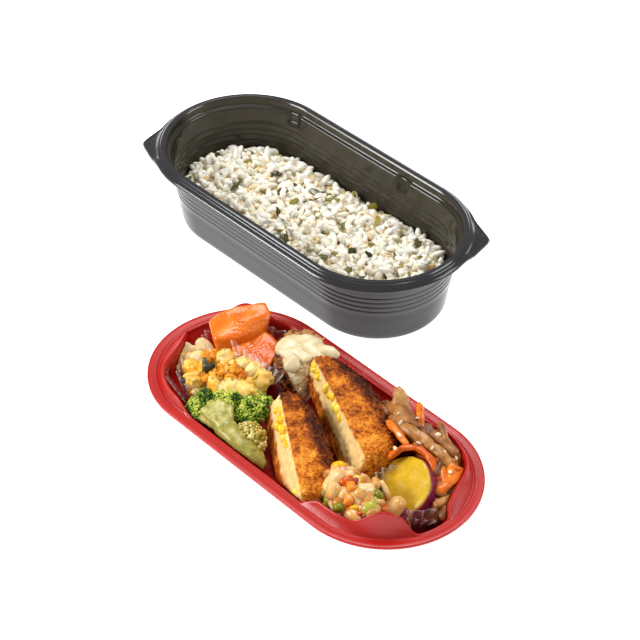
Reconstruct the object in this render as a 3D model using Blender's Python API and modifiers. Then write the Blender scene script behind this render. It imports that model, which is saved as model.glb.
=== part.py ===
"""Packed lunch in two moulded trays, standing side by side.

A deep black rice box and a shallow red side-dish tray with its food. Both are stadiums:
two half circles joined by straight sides. Each container has its own frame, an empty at
the middle of its base, and everything in it is modelled there and parented to it.
"""
import math

import bmesh
import bpy
import numpy as np

MM = 0.001
DEG = math.pi / 180

# Driving dimensions, in metres
GAP = 0.3 * MM                  # left between pieces that touch
SHEET = 0.6 * MM                # moulded plastic sheet
FILM = 0.4 * MM                 # clear fluted cups

BOX_LENGTH, BOX_WIDTH, BOX_HEIGHT = 233.2 * MM, 116.9 * MM, 54.7 * MM
BOX_PLACE, BOX_TURN = (-61.95 * MM, 56.8 * MM), 0.64 * DEG
EAR_REACH, EAR_ANGLE, EAR_SPREAD = 7.6 * MM, 40 * DEG, 24 * DEG
RICE_CROWN = 25.5 * MM

TRAY_LENGTH, TRAY_WIDTH, TRAY_RIM = 225.0 * MM, 108.4 * MM, 20.0 * MM
TRAY_PLACE, TRAY_TURN = (66.05 * MM, -61.7 * MM), 0.0
FLANGE = 5.8 * MM               # width of the tray's flat rim

CUTLET_THICK = 14.5 * MM

COLOURS = {
    "black_plastic": ((0.035, 0.034, 0.036), 0.38),
    "red_plastic": ((0.55, 0.025, 0.03), 0.32),
    "rice": ((0.80, 0.74, 0.62), 0.45),
    "crumb_crust": ((0.42, 0.16, 0.04), 0.65),
    "cream_sauce": ((0.90, 0.80, 0.58), 0.35),
    "carrot": ((0.85, 0.22, 0.04), 0.35),
    "root": ((0.62, 0.40, 0.18), 0.45),
    "pumpkin_salad": ((0.90, 0.62, 0.20), 0.45),
    "broccoli": ((0.12, 0.24, 0.04), 0.60),
    "kinpira": ((0.42, 0.24, 0.10), 0.40),
    "sweet_potato": ((0.72, 0.48, 0.05), 0.50),
    "bean_salad": ((0.70, 0.45, 0.22), 0.35),
    "clear_film": ((0.85, 0.85, 0.85), 0.12),
}


def clear_scene():
    for item in list(bpy.data.objects):
        bpy.data.objects.remove(item, do_unlink=True)


def collection(name):
    group = bpy.data.collections.new(name)
    bpy.context.scene.collection.children.link(group)
    return group


def material(name):
    found = bpy.data.materials.get(name)
    if found:
        return found
    made = bpy.data.materials.new(name)
    made.use_nodes = True
    shader = made.node_tree.nodes["Principled BSDF"]
    colour, roughness = COLOURS[name]
    shader.inputs["Base Color"].default_value = (*colour, 1.0)
    shader.inputs["Roughness"].default_value = roughness
    shader.inputs["Metallic"].default_value = 0.0
    if name == "clear_film":
        shader.inputs["Transmission Weight"].default_value = 1.0
    return made


def frame(name, place, turn):
    empty = bpy.data.objects.new(name, None)
    empty.location = (*place, 0.0)
    empty.rotation_euler = (0.0, 0.0, turn)
    PARTS.objects.link(empty)
    return empty


def loft(name, rings, parent, finish, open_top=False, group=None):
    """Skin a stack of closed rings, lowest first; the last is capped unless open_top."""
    count = len(rings[0])
    points = np.concatenate(rings)
    here = np.arange(count)
    after = np.roll(here, -1)
    faces = []
    for level in range(len(rings) - 1):
        low, high = level * count, (level + 1) * count
        for a, b in zip(here, after):
            faces.append((low + a, low + b, high + b))
            faces.append((low + a, high + b, high + a))
    faces.append(tuple(here[::-1]))
    if not open_top:
        faces.append(tuple((len(rings) - 1) * count + here))
    mesh = bpy.data.meshes.new(name)
    mesh.from_pydata([tuple(p) for p in points], [], [tuple(map(int, f)) for f in faces])
    mesh.materials.append(material(finish))
    mesh.shade_smooth()
    mesh.set_sharp_from_angle(angle=40 * DEG)
    item = bpy.data.objects.new(name, mesh)
    item.parent = parent
    (group or PARTS).objects.link(item)
    return item


def as_cutter(item):
    item.hide_render = True
    item.display_type = "WIRE"
    return item


def clearance(item, gap=2 * GAP):
    """A cutter of the item's own shape, grown by the gap."""
    grown = item.copy()
    grown.name = item.name + "_clearance"
    grow = grown.modifiers.new("grow", "DISPLACE")
    grow.strength = gap
    grow.mid_level = 0.0
    CUTTERS.objects.link(grown)
    return as_cutter(grown)


def combine(item, other, operation):
    cut = item.modifiers.new(operation.lower(), "BOOLEAN")
    cut.operation = operation
    cut.object = other
    cut.solver = "EXACT"


def thicken(item, thickness):
    """Turn an open skin into a sheet that grows away from the food."""
    wall = item.modifiers.new("wall", "SOLIDIFY")
    wall.thickness = thickness
    wall.offset = 1.0
    wall.use_even_offset = True


def smoothstep(value):
    value = np.clip(value, 0.0, 1.0)
    return value * value * (3 - 2 * value)


def plateau(angle, start, end, rise, fall):
    """0 outside start..end, 1 inside, with smooth flanks."""
    return smoothstep((angle - start) / rise) * smoothstep((end - angle) / fall)


def bump(angle, centre, spread):
    """A squared cosine, 1 at the centre and 0 past the spread."""
    return np.cos(np.pi / 2 * np.clip((angle - centre) / spread, -1, 1)) ** 2


# ---- stadium shells ----------------------------------------------------------------------

def stadium_columns(cap_steps, side_steps):
    """Columns round a stadium: which cap centre they belong to (-1..1) and their normal."""
    cap = np.linspace(-90, 90, cap_steps + 1)
    side = np.linspace(1, -1, side_steps + 1)[1:-1]
    centre = np.concatenate([np.ones(cap_steps + 1), side, -np.ones(cap_steps + 1), -side])
    normal = np.concatenate([cap, np.full(len(side), 90.0), cap + 180, np.full(len(side), 270.0)])
    return centre, normal * DEG


def stadium_ring(columns, length, width, inset, height):
    """The stadium moved in by the inset (one value or one a column), at a height."""
    centre, normal = columns
    radius = width / 2 - inset
    x = centre * (length - width) / 2 + radius * np.cos(normal)
    y = radius * np.sin(normal)
    return np.stack([x, y, np.broadcast_to(height, x.shape)], axis=1)


def box_rings(columns, shift=0.0):
    """Inner skin of the rice box from the floor to the turned-down lip."""
    normal = columns[1]
    away = np.abs(np.angle(np.exp(2j * (normal - EAR_ANGLE)))) / 2
    ear = EAR_REACH * np.clip(1.04 - away / EAR_SPREAD, 0, 1) ** 1.2
    top = BOX_HEIGHT / MM
    floor_and_wall = [(20.5, 0.6), (17.4, 1.4), (16.2, 3.6), (9.6, top - 5.5)]
    rim = [(7.8, top - 5.1), (7.2, top - 0.7), (6.4, top), (3.0, top), (2.4, top - 0.5),
           (1.9, top - 5.2)]
    lip = [(0.2, top - 6.0), (0.0, top - 8.1)]
    rings = []
    for inset, height in floor_and_wall + rim:
        rings.append(stadium_ring(columns, BOX_LENGTH, BOX_WIDTH, inset * MM + shift,
                                  height * MM + shift))
    for inset, height in lip:
        rings.append(stadium_ring(columns, BOX_LENGTH, BOX_WIDTH, inset * MM + shift - ear,
                                  height * MM + shift))
    return rings


def petal_crest(columns):
    """How far in and how high the tray's raised inner edge stands, column by column.

    The angle is in degrees round the nearer cap and runs on along the straight side. Half
    a turn of the tray gives the same shape: two opposite quarters carry a tall wave, the
    other two a low shelf.
    """
    centre, normal = columns
    normal = normal - math.pi * (centre < 0)
    normal = np.angle(np.exp(1j * normal)) / DEG
    side_run = (1 - np.abs(centre)) * (TRAY_LENGTH - TRAY_WIDTH) / 2
    angle = normal + np.sign(normal) * side_run / (48 * MM) / DEG
    wave = plateau(angle, -112, -23, 16, 9)
    tall = bump(angle, -45, 26)
    shelf = plateau(angle, 0, 104, 9, 20)
    deep = shelf * bump(angle, 24, 34)
    inset = 6.6 + 4.0 * wave + 1.2 * tall + 1.8 * shelf + 4.8 * deep
    height = 19.3 + 5.2 * wave + 9.2 * tall + 4.9 * shelf
    return inset * MM, height * MM


def tray_rings(columns, shift=0.0):
    """Upper skin of the side tray: floor, wall, crest, outer slope, flat rim and lip."""
    crest_in, crest_up = petal_crest(columns)
    edge_in, edge_up = FLANGE, TRAY_RIM - 0.7 * MM

    def at(inset, height):
        return stadium_ring(columns, TRAY_LENGTH, TRAY_WIDTH, inset, height + shift)

    slope_in = edge_in + 0.55 * (crest_in - edge_in)
    slope_up = edge_up + 0.35 * (crest_up - edge_up)
    wall_in = np.maximum(crest_in + 2.6 * MM, 13.0 * MM)
    return [at(24.0 * MM + shift, SHEET), at(19.5 * MM + shift, 3.2 * MM),
            at(wall_in + shift, 10.5 * MM),
            at(crest_in + 1.6 * MM + shift, crest_up - 0.4 * MM),
            at(crest_in, crest_up), at(slope_in, slope_up), at(edge_in, edge_up),
            at(0.3 * MM, TRAY_RIM), at(0.0, TRAY_RIM - 1.4 * MM)]


def room(name, rings, parent):
    """The space over a shell's skin: its rings, closed by a wall that rises high above."""
    lift = np.array([0.0, 0.0, 0.12])
    spread = np.array([1.2, 1.2, 1.0])
    wall = rings[-1] * spread
    return as_cutter(loft(name, [*rings, wall, wall + lift], parent, "clear_film",
                          group=CUTTERS))


# ---- food --------------------------------------------------------------------------------

def oval(count, semi, turn=0.0, centre=(0.0, 0.0), power=1.0):
    """Points of an oval in the plan; power under 1 squares its corners."""
    angle = np.arange(count) * 2 * math.pi / count
    x = semi[0] * np.sign(np.cos(angle)) * np.abs(np.cos(angle)) ** power
    y = semi[1] * np.sign(np.sin(angle)) * np.abs(np.sin(angle)) ** power
    c, s = math.cos(turn), math.sin(turn)
    return np.stack([centre[0] + x * c - y * s, centre[1] + x * s + y * c], axis=1)


def heap(name, centre, semi, turn, levels, profile, finish, parent, count=16, rough=0.06):
    """A mound: an oval that shrinks as it rises, with an uneven side and top."""
    low, high = levels
    angle = np.arange(count) * 2 * math.pi / count
    rings = []
    for step, (scale, rise) in enumerate(profile):
        lump = 1 + rough * np.sin(3 * angle + 1.7 * step) + 0.6 * rough * np.sin(5 * angle - step)
        plan = oval(count, semi, turn) * (scale * lump)[:, None] + np.array(centre)
        sway = 0.5 * rough * (high - low) * rise * np.sin(2 * angle + step)
        rings.append(np.column_stack([plan, low + (high - low) * rise + sway]))
    return loft(name, rings, parent, finish)


MOUND = [(0.86, 0.0), (1.0, 0.3), (0.97, 0.55), (0.82, 0.8), (0.55, 0.95), (0.22, 1.0)]


def cutlet(name, far, near, lift, length, width, cut_slope, parent, skew=1.0, count=18):
    """Half of an oval cutlet: a straight sloping cut on its left, crust all round its right.

    far and near are the ends of the cut's upper edge in plan, lift their heights.
    """
    far, near = np.array(far), np.array(near)
    along = near - far
    along = along / np.hypot(*along)
    aside = np.array([-along[1], along[0]])
    run = np.hypot(*(near - far))
    tilt = (lift[1] - lift[0]) / run
    angle = np.linspace(math.pi, 0, count)
    curve_x = length * ((1 - np.cos(angle)) / 2) ** skew - 0.04 * length
    curve_y = width * np.sin(angle) ** 0.62
    levels = [(1.0, 0.93), (0.78, 1.0), (0.32, 1.0), (0.1, 0.96), (0.0, 0.86)]
    rings = []
    for depth, size in levels:
        middle = length * 0.46
        x = middle + (curve_x - middle) * (0.5 + size / 2)
        y = curve_y * size - cut_slope * depth * (np.sin(angle) < 0.02)
        plan = far + x[:, None] * along + y[:, None] * aside
        height = lift[0] + tilt * x - depth * CUTLET_THICK
        rings.append(np.column_stack([plan, height]))
    return loft(name, rings, parent, "crumb_crust")


def chunk(name, corners, finish, parent, bevel=1.6 * MM):
    """A solid cut with a few flat strokes: the hull of its corners, edges rounded."""
    body = bmesh.new()
    for corner in corners:
        body.verts.new([value * MM for value in corner])
    result = bmesh.ops.convex_hull(body, input=body.verts)
    loose = [v for v in result["geom_interior"] if isinstance(v, bmesh.types.BMVert)]
    bmesh.ops.delete(body, geom=loose, context="VERTS")
    bmesh.ops.dissolve_limit(body, angle_limit=4 * DEG, verts=body.verts, edges=body.edges)
    mesh = bpy.data.meshes.new(name)
    body.to_mesh(mesh)
    body.free()
    mesh.materials.append(material(finish))
    item = bpy.data.objects.new(name, mesh)
    item.parent = parent
    PARTS.objects.link(item)
    soft = item.modifiers.new("edges", "BEVEL")
    soft.width = bevel
    soft.segments = 2
    return item


def slice_of(name, centre, semi, thick, facing, finish, parent, count=18):
    """An oval slice; facing is the direction that its upper face looks in."""
    up = np.array(facing) / np.linalg.norm(facing)
    across = np.cross((0.0, 0.0, 1.0), up)
    across = across / np.linalg.norm(across)
    down = np.cross(up, across)
    plan = oval(count, np.array(semi) * MM)
    rings = []
    for scale, level in ((0.92, -0.5), (1.0, -0.32), (1.0, 0.32), (0.92, 0.5)):
        spot = plan * scale
        rings.append(np.array(centre) * MM + np.outer(spot[:, 0], across)
                     + np.outer(spot[:, 1], down) + up * level * thick * MM)
    return loft(name, rings, parent, finish)


def floret(name, crown, radius, stem_end, stem_radius, parent, count=14):
    """A floret in one ring stack: a tapering stem that opens into a lumpy crown."""
    crown, stem_end = np.array(crown) * MM, np.array(stem_end) * MM
    radius, stem_radius = radius * MM, stem_radius * MM
    axis = crown - stem_end
    span = np.linalg.norm(axis)
    axis = axis / span
    side = np.cross(axis, (0.0, 0.0, 1.0))
    side = side / np.linalg.norm(side)
    up = np.cross(side, axis)
    angle = np.arange(count) * 2 * math.pi / count
    neck = max(span - 1.15 * radius, 0.2 * span)
    stack = [(0.0, 0.8 * stem_radius), (0.04 * span, stem_radius), (neck, 1.3 * stem_radius)]
    for lean in (-40, -10, 25, 55, 80):
        stack.append((span + radius * math.sin(lean * DEG), radius * math.cos(lean * DEG)))
    rings = []
    for step, (where, size) in enumerate(stack):
        knob = 1 + 0.07 * np.sin(4 * angle + 2 * step) * (step > 2)
        circle = np.outer(np.cos(angle) * knob, up) + np.outer(np.sin(angle) * knob, side)
        rings.append(stem_end + axis * where + circle * size)
    return loft(name, rings, parent, "broccoli")


def cup_rings(centre, semi, turn, levels, flutes, swell=0.0, zigzag=1.0):
    """Rings of a tapering oval cup from its base to its rim; zigzag 1 pleats the wall."""
    low, high = np.array(levels) * MM
    count = flutes * 2
    pleat = zigzag * (np.arange(count) % 2)
    centre = np.array(centre) * MM
    rings = []
    for scale, level, depth in ((0.72, low, 0.0), (0.79, low + 1.5 * MM, 0.02),
                                (0.9, (low + high) / 2, 0.04), (1.0, high, 0.05)):
        plan = oval(count, np.array(semi) * MM, turn) * (scale + swell + depth * pleat)[:, None]
        rings.append(np.column_stack([plan + centre, np.full(count, level)]))
    return rings


def fluted_cup(name, centre, semi, turn, levels, parent, flutes=9):
    """A clear pleated cup, with the space inside it and the space it takes up."""
    lift = np.array([0.0, 0.0, 80 * MM])
    skin = cup_rings(centre, semi, turn, levels, flutes)
    cup = loft(name, skin, parent, "clear_film", open_top=True)
    thicken(cup, FILM)
    inner = cup_rings(centre, semi, turn, levels, flutes, swell=-0.025, zigzag=0.0)
    inner = [ring + np.array([0, 0, GAP]) for ring in inner]
    outer = cup_rings(centre, semi, turn, levels, flutes, swell=0.085, zigzag=0.0)
    outer = [ring - np.array([0, 0, GAP + FILM]) for ring in outer]
    inside = loft(name + "_inside", [*inner, inner[-1] + lift], parent, "clear_film",
                  group=CUTTERS)
    taken = loft(name + "_taken", [*outer, outer[-1] + lift], parent, "clear_film",
                 group=CUTTERS)
    return cup, as_cutter(inside), as_cutter(taken)


def strip_heap(name, stations, parent):
    """A long low heap along the tray's wall: one rounded section carried along a path."""
    rings = []
    for x, y, normal, half, top in stations:
        out = np.array([math.cos(normal * DEG), math.sin(normal * DEG), 0.0])
        section = [(1.0, 3.0), (1.0, 0.62 * top), (0.45, 0.96 * top), (-0.35, top),
                   (-0.95, 0.66 * top), (-1.0, 3.0)]
        rings.append(np.array([np.array([x, y, 0.0]) + out * side * half + (0, 0, height)
                               for side, height in section]) * MM)
    return loft(name, rings, parent, "kinpira")


# ---- the two containers ------------------------------------------------------------------

def build_rice_box():
    place = frame("rice_box_place", BOX_PLACE, BOX_TURN)
    columns = stadium_columns(16, 2)
    shell = loft("rice_box", box_rings(columns), place, "black_plastic", open_top=True)
    thicken(shell, SHEET)
    space = room("rice_space", box_rings(columns, GAP)[:4], place)
    semi = np.array([BOX_LENGTH / 2, BOX_WIDTH / 2]) - 11 * MM
    rings = []
    for scale, level in ((1.0, 0.0), (0.99, 0.72), (0.93, 0.86), (0.8, 0.95), (0.55, 1.0),
                         (0.25, 0.98)):
        plan = oval(28, semi * scale, power=0.62)
        wave = 0.5 * np.sin(plan[:, 0] / (9 * MM)) + 0.4 * np.sin(plan[:, 1] / (7 * MM) + 2)
        height = 1.2 * MM + (RICE_CROWN - 1.2 * MM) * level + wave * MM * (level > 0.5)
        rings.append(np.column_stack([plan, height]))
    rice = loft("rice", rings, place, "rice")
    combine(rice, space, "INTERSECT")


def build_side_tray():
    place = frame("side_tray_place", TRAY_PLACE, TRAY_TURN)
    columns = stadium_columns(20, 6)
    shell = loft("side_tray", tray_rings(columns), place, "red_plastic", open_top=True)
    thicken(shell, SHEET)
    space = room("tray_space", tray_rings(columns, GAP)[:8], place)

    front = cutlet("cutlet_front", (-15.3 * MM, -9.3 * MM), (40.0 * MM, -44.5 * MM),
                   (36 * MM, 24 * MM), 71 * MM, 23 * MM, 9 * MM, place, skew=0.9)
    back = cutlet("cutlet_back", (-25.7 * MM, 22.8 * MM), (38.0 * MM, -3.2 * MM),
                  (38 * MM, 28 * MM), 79 * MM, 27 * MM, 3.5 * MM, place, skew=0.75)
    over = [clearance(front), clearance(back)]

    cup_1, inside_1, taken_1 = fluted_cup("film_cup_pumpkin", (-60, -17), (24, 16.5), 34 * DEG,
                                          (3, 23), place)
    cup_2, inside_2, taken_2 = fluted_cup("film_cup_carrot", (-70, 17), (29, 16), 35 * DEG,
                                          (3, 25), place)
    cup_3, inside_3, taken_3 = fluted_cup("film_cup_beans", (58, -24), (25, 13.5), -8 * DEG,
                                          (3, 21), place)
    cup_4, inside_4, taken_4 = fluted_cup("film_cup_potato", (76, 4), (20, 17), 30 * DEG,
                                          (3, 18), place)
    cups = [cup_1, cup_2, cup_3, cup_4]
    takens = [taken_1, taken_2, taken_3, taken_4]

    def settle(item, cutters, inside=None):
        combine(item, inside or space, "INTERSECT")
        for cutter in cutters:
            combine(item, cutter, "DIFFERENCE")
        return item

    for number, cup in enumerate(cups):
        settle(cup, over + takens[:number])
    settle(front, [])
    settle(back, [])

    fillet = heap("fried_fillet", (-40 * MM, 31 * MM), (24 * MM, 15 * MM), -6 * DEG,
                  (7 * MM, 32 * MM), [(0.9, 0.0), (1.0, 0.2), (1.0, 0.8), (0.88, 1.0)],
                  "crumb_crust", place, rough=0.0)
    settle(fillet, over + [taken_2])
    sauce = heap("cream_sauce", (-36 * MM, 30.5 * MM), (18.5 * MM, 11.5 * MM), 6 * DEG,
                 (32.3 * MM, 37 * MM), [(0.93, 0.0), (1.0, 0.3), (0.92, 0.75), (0.6, 1.0)],
                 "cream_sauce", place, rough=0.03)
    settle(sauce, over)

    carrot_1 = chunk("carrot_1", [(-93, 4.5, 34), (-91.7, 16.5, 35), (-78.5, 37.5, 37.5),
                                  (-70.5, 35.5, 35), (-75, 21.5, 35), (-69, 6.7, 31),
                                  (-79, -4.5, 32), (-88, 5, 12), (-80, 30, 12), (-72, -1, 12),
                                  (-69, 12, 16), (-72, 30, 16)], "carrot", place)
    settle(carrot_1, over, inside_2)
    carrot_2 = chunk("carrot_2", [(-76, 17.5, 27), (-70, 26.5, 28), (-52, 26, 27),
                                  (-45, 12, 26), (-45, 3.5, 25), (-70, 3, 27),
                                  (-68, 6, 6), (-52, 8, 6), (-55, 22, 6), (-68, 18, 6)],
                     "carrot", place)
    settle(carrot_2, over + [clearance(carrot_1)], inside_2)

    pumpkin = heap("pumpkin_salad", (-59 * MM, -16 * MM), (24 * MM, 17 * MM), 34 * DEG,
                   (3.5 * MM, 33 * MM), MOUND, "pumpkin_salad", place)
    settle(pumpkin, over + [clearance(carrot_1), clearance(carrot_2)], inside_1)

    beans = heap("bean_salad", (59 * MM, -23 * MM), (26 * MM, 15 * MM), -8 * DEG,
                 (3.5 * MM, 30 * MM), MOUND, "bean_salad", place)
    settle(beans, over, inside_3)

    potato_1 = slice_of("sweet_potato_1", (70, 6, 19.5), (19, 17), 10, (0.25, -0.23, 0.94),
                        "sweet_potato", place)
    settle(potato_1, over + [taken_3], inside_4)
    potato_2 = slice_of("sweet_potato_2", (84.5, -5.5, 11), (13, 10), 8, (0.45, -0.42, 0.79),
                        "sweet_potato", place)
    settle(potato_2, over + [taken_3, clearance(potato_1)], inside_4)

    broccoli_1 = floret("broccoli_1", (-44, -35, 21), 14.5, (12, -41, 12), 7, place)
    settle(broccoli_1, over + [taken_1])
    broccoli_2 = floret("broccoli_2", (-25, -21, 24), 12, (-27, -22, 6), 5, place)
    settle(broccoli_2, over + [taken_1, clearance(broccoli_1)])
    broccoli_3 = floret("broccoli_3", (-8, -31, 22), 8, (-8, -32, 8), 4, place)
    settle(broccoli_3, over + [clearance(broccoli_1), clearance(broccoli_2)])

    roots = []
    stack = (((-92, -19, 17), (3, 11)), ((-93, -10, 19), (8, 12)),
             ((-88, 0, 19), (10, 10)), ((-83, -9, 21), (9, 9)))
    for number, (centre, semi) in enumerate(stack):
        root = slice_of(f"root_slice_{number + 1}", centre, semi, 3, (0.62, -0.5, 0.6), "root",
                        place, count=14)
        settle(root, [taken_1, taken_2] + [clearance(other) for other in roots])
        roots.append(root)

    kinpira = strip_heap("kinpira", [(12, 38, 90, 8, 20), (30, 38, 90, 10, 24),
                                     (52, 37, 90, 12, 27), (70, 34, 70, 12, 27),
                                     (84, 25, 45, 12, 26), (92, 12, 22, 9, 23),
                                     (95, 0, 2, 7, 20)], place)
    settle(kinpira, over + [taken_4])


clear_scene()
PARTS = collection("packed_lunch")
CUTTERS = collection("cutters")
build_rice_box()
build_side_tray()
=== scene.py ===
# %% [markdown]
# # A bento in two containers
#
# The lunch is a deep black container of barley rice beside a shallow red tray of side dishes.
# Its solid model is loaded first. Every piece made below stands where a solid stands, so
# nothing here changes a size: the lesson only adds the looks.

# %% Load the solid model
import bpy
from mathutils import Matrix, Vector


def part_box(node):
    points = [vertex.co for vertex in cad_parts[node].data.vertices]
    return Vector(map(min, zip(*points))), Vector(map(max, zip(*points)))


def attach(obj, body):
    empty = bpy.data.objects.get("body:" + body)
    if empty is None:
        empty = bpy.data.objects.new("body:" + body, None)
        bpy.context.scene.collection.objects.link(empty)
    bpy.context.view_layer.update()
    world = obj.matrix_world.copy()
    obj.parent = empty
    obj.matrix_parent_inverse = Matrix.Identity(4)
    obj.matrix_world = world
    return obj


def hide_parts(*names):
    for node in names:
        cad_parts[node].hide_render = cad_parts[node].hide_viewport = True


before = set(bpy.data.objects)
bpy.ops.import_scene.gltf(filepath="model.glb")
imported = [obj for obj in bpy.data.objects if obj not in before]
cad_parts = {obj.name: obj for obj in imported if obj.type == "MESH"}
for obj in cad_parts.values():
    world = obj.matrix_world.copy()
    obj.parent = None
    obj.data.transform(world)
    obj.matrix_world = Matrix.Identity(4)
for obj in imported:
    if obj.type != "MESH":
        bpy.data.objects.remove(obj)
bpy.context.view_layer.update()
print("solid nodes:", len(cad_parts))

# %% [markdown]
# ## Units, colours and nodes
#
# All shapes are worked out in millimetres with numpy and turned to metres when they go into
# a mesh. Colours are written as sRGB hex codes, the way a paint chart gives them, and one
# function turns them to the linear values that a shader wants.

# %% Units and a colour function
import itertools
import math

import bpy
import numpy as np
from mathutils import Vector

MM = 0.001                     # a millimetre in metres
DEG = math.pi / 180            # a degree in radians
GOLDEN = 2.39996               # the golden angle in radians: a sunflower's turn from seed to seed


def linear(code):
    """A hex colour as linear RGBA: c / 12.92 up to 0.04045, else ((c + 0.055) / 1.055) ^ 2.4."""
    srgb = np.array([int(code[i:i + 2], 16) for i in (1, 3, 5)]) / 255
    bright = ((srgb + 0.055) / 1.055) ** 2.4
    return (*np.where(srgb <= 0.04045, srgb / 12.92, bright).tolist(), 1.0)


print("one millimetre is", MM, "m; mid grey is", round(linear("#808080")[0], 3), "of white's light")


# %% One function adds a node
def add(tree, kind, inputs=None, stops=(), **settings):
    """Add a node: settings are its properties, inputs its values or the sockets that feed it.

    stops are the places and hex colours of a colour ramp.
    """
    node = tree.nodes.new(kind)
    for name, value in settings.items():
        setattr(node, name, value)
    for name, value in (inputs or {}).items():
        if isinstance(value, bpy.types.NodeSocket):
            tree.links.new(value, node.inputs[name])
        else:
            node.inputs[name].default_value = value
    for number, (place, code) in enumerate(stops):
        marks = node.color_ramp.elements
        mark = marks[number] if number < 2 else marks.new(place)
        mark.position, mark.color = place, linear(code)
    return node


def new_material(name, **settings):
    """An empty Principled material with its shader's own values set, and its node tree."""
    made = bpy.data.materials.new(name)
    made.use_nodes = True
    tree = made.node_tree
    shader = tree.nodes["Principled BSDF"]
    for key, value in settings.items():
        shader.inputs[key.replace("_", " ")].default_value = value
    return made, tree, shader


def finish_surface(tree, shader, colour, relief=None):
    """Feed the shader its colour, and its relief where the surface has one."""
    tree.links.new(colour, shader.inputs["Base Color"])
    if relief:
        tree.links.new(relief, shader.inputs["Normal"])


print("node helpers:", add.__name__, new_material.__name__, finish_surface.__name__)


# %% [markdown]
# ## Surfaces as grids
#
# Nearly every piece is a grid of points: rows in one direction, columns in the other. A
# closed piece joins its last column to its first and ends each way in a cap, so that the
# skin has no hole. Whole arrays go into the mesh at once, which is much faster than adding
# vertices one by one.

# %% Faces of a grid
def grid_faces(rows, columns, around=True):
    """Four-sided faces between neighbouring rows; around joins the last column to the first."""
    here = np.arange(columns if around else columns - 1)
    after = (here + 1) % columns
    row = np.arange(rows - 1)[:, None] * columns
    return np.stack([row + here, row + after, row + columns + after, row + columns + here],
                    axis=-1).reshape(-1, 4)


def closed_skin(grid):
    """Points and faces of a closed grid: its rows are rings, each end drawn in to one point."""
    rows, columns = grid.shape[:2]
    ends = np.stack([grid[0].mean(axis=0), grid[-1].mean(axis=0)])
    points = np.concatenate([grid.reshape(-1, 3), ends])
    here = np.arange(columns)
    after = (here + 1) % columns
    first, last = rows * columns, rows * columns + 1
    top = (rows - 1) * columns
    caps = np.concatenate([
        np.stack([after, here, np.full(columns, first)], axis=1),
        np.stack([top + here, top + after, np.full(columns, last)], axis=1)])
    return points, [grid_faces(rows, columns), caps]


def floored_skin(grid, middle):
    """Points and faces of a grid whose first ring is filled by a fan round a middle point."""
    points = np.concatenate([grid.reshape(-1, 3), [middle]])
    here = np.arange(grid.shape[1])
    fan = np.stack([np.roll(here, -1), here, np.full(len(here), len(points) - 1)], axis=1)
    return points, [grid_faces(*grid.shape[:2]), fan]


print("a closed grid of 3 rows and 8 columns has", len(grid_faces(3, 8)), "faces and two caps")


# %% A mesh from arrays
def put_in_mesh(name, points, faces, material, values=None, smooth=True):
    """Millimetre points and lists of faces become a mesh object at the origin.

    values are named numbers, one a point, that the material can read.
    """
    mesh = bpy.data.meshes.new(name)
    corners = np.concatenate([part.ravel() for part in faces]).astype(np.int32)
    sizes = np.concatenate([np.full(len(part), part.shape[1]) for part in faces])
    starts = np.concatenate([[0], np.cumsum(sizes)[:-1]]).astype(np.int32)
    mesh.vertices.add(len(points))
    mesh.vertices.foreach_set("co", (points * MM).astype(np.float32).ravel())
    mesh.loops.add(len(corners))
    mesh.loops.foreach_set("vertex_index", corners)
    mesh.polygons.add(len(sizes))
    mesh.polygons.foreach_set("loop_start", starts)
    mesh.update(calc_edges=True)
    mesh.validate()
    if smooth:
        mesh.shade_smooth()
    for key, numbers in (values or {}).items():
        layer = mesh.attributes.new(key, "FLOAT", "POINT")
        layer.data.foreach_set("value", np.asarray(numbers, np.float32).ravel())
    mesh.materials.append(material)
    piece = bpy.data.objects.new(name, mesh)
    bpy.context.scene.collection.objects.link(piece)
    return piece


def belongs(piece, slot, *nodes):
    """The piece hangs from the lunch's root and hides the nodes it stands for; slot is not used."""
    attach(piece, "root")
    if nodes:
        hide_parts(*nodes)
    print(piece.name, len(piece.data.polygons), "faces")
    return piece


# %% Smooth curves and gentle noise
def smooth_path(knots, steps):
    """A Catmull-Rom curve: each span between two knots bends towards its neighbours.

    knots has one row a knot; the result has steps points a span and ends on the last knot.
    """
    knots = np.asarray(knots, float)
    padded = np.concatenate([2 * knots[:1] - knots[1:2], knots, 2 * knots[-1:] - knots[-2:-1]])
    t = (np.arange(steps) / steps).reshape(-1, *[1] * (knots.ndim - 1))
    spans = []
    for a, b, c, d in zip(padded[:-3], padded[1:-2], padded[2:-1], padded[3:]):
        spans.append(0.5 * (2 * b + (c - a) * t + (2 * a - 5 * b + 4 * c - d) * t ** 2
                            + (3 * b - a - 3 * c + d) * t ** 3))
    return np.concatenate([*spans, knots[-1:]])


def noise(points, size, seed, waves=14):
    """Smooth noise of about -1 to 1: a sum of sine waves, size mm long, in random directions."""
    draw = np.random.default_rng(seed)
    heading = draw.normal(size=(3, waves))
    heading *= draw.uniform(0.6, 1.5, waves) / np.linalg.norm(heading, axis=0)
    phase = draw.uniform(0, 2 * math.pi, waves)
    return np.sin(points @ heading * (2 * math.pi / size) + phase).sum(axis=-1) / math.sqrt(waves)


def roughened(points, amount, size, seed):
    """Push points about by smooth noise of this amount and size in mm, each axis by itself."""
    return points + amount * np.stack([noise(points, size, seed + k) for k in range(3)], axis=-1)


def smoothstep(value):
    """0 below 0 and 1 above 1; between them 3 v^2 - 2 v^3, which starts and ends level."""
    value = np.clip(value, 0.0, 1.0)
    return value * value * (3 - 2 * value)


def plateau(value, start, end, rise, fall):
    """0 outside start..end and 1 inside it, with smooth flanks."""
    return smoothstep((value - start) / rise) * smoothstep((end - value) / fall)


def bump(value, centre, spread):
    """A squared cosine: 1 at the centre and 0 past the spread."""
    return np.cos(math.pi / 2 * np.clip((value - centre) / spread, -1, 1)) ** 2


print("a smooth step half way up:", smoothstep(0.5))


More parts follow.
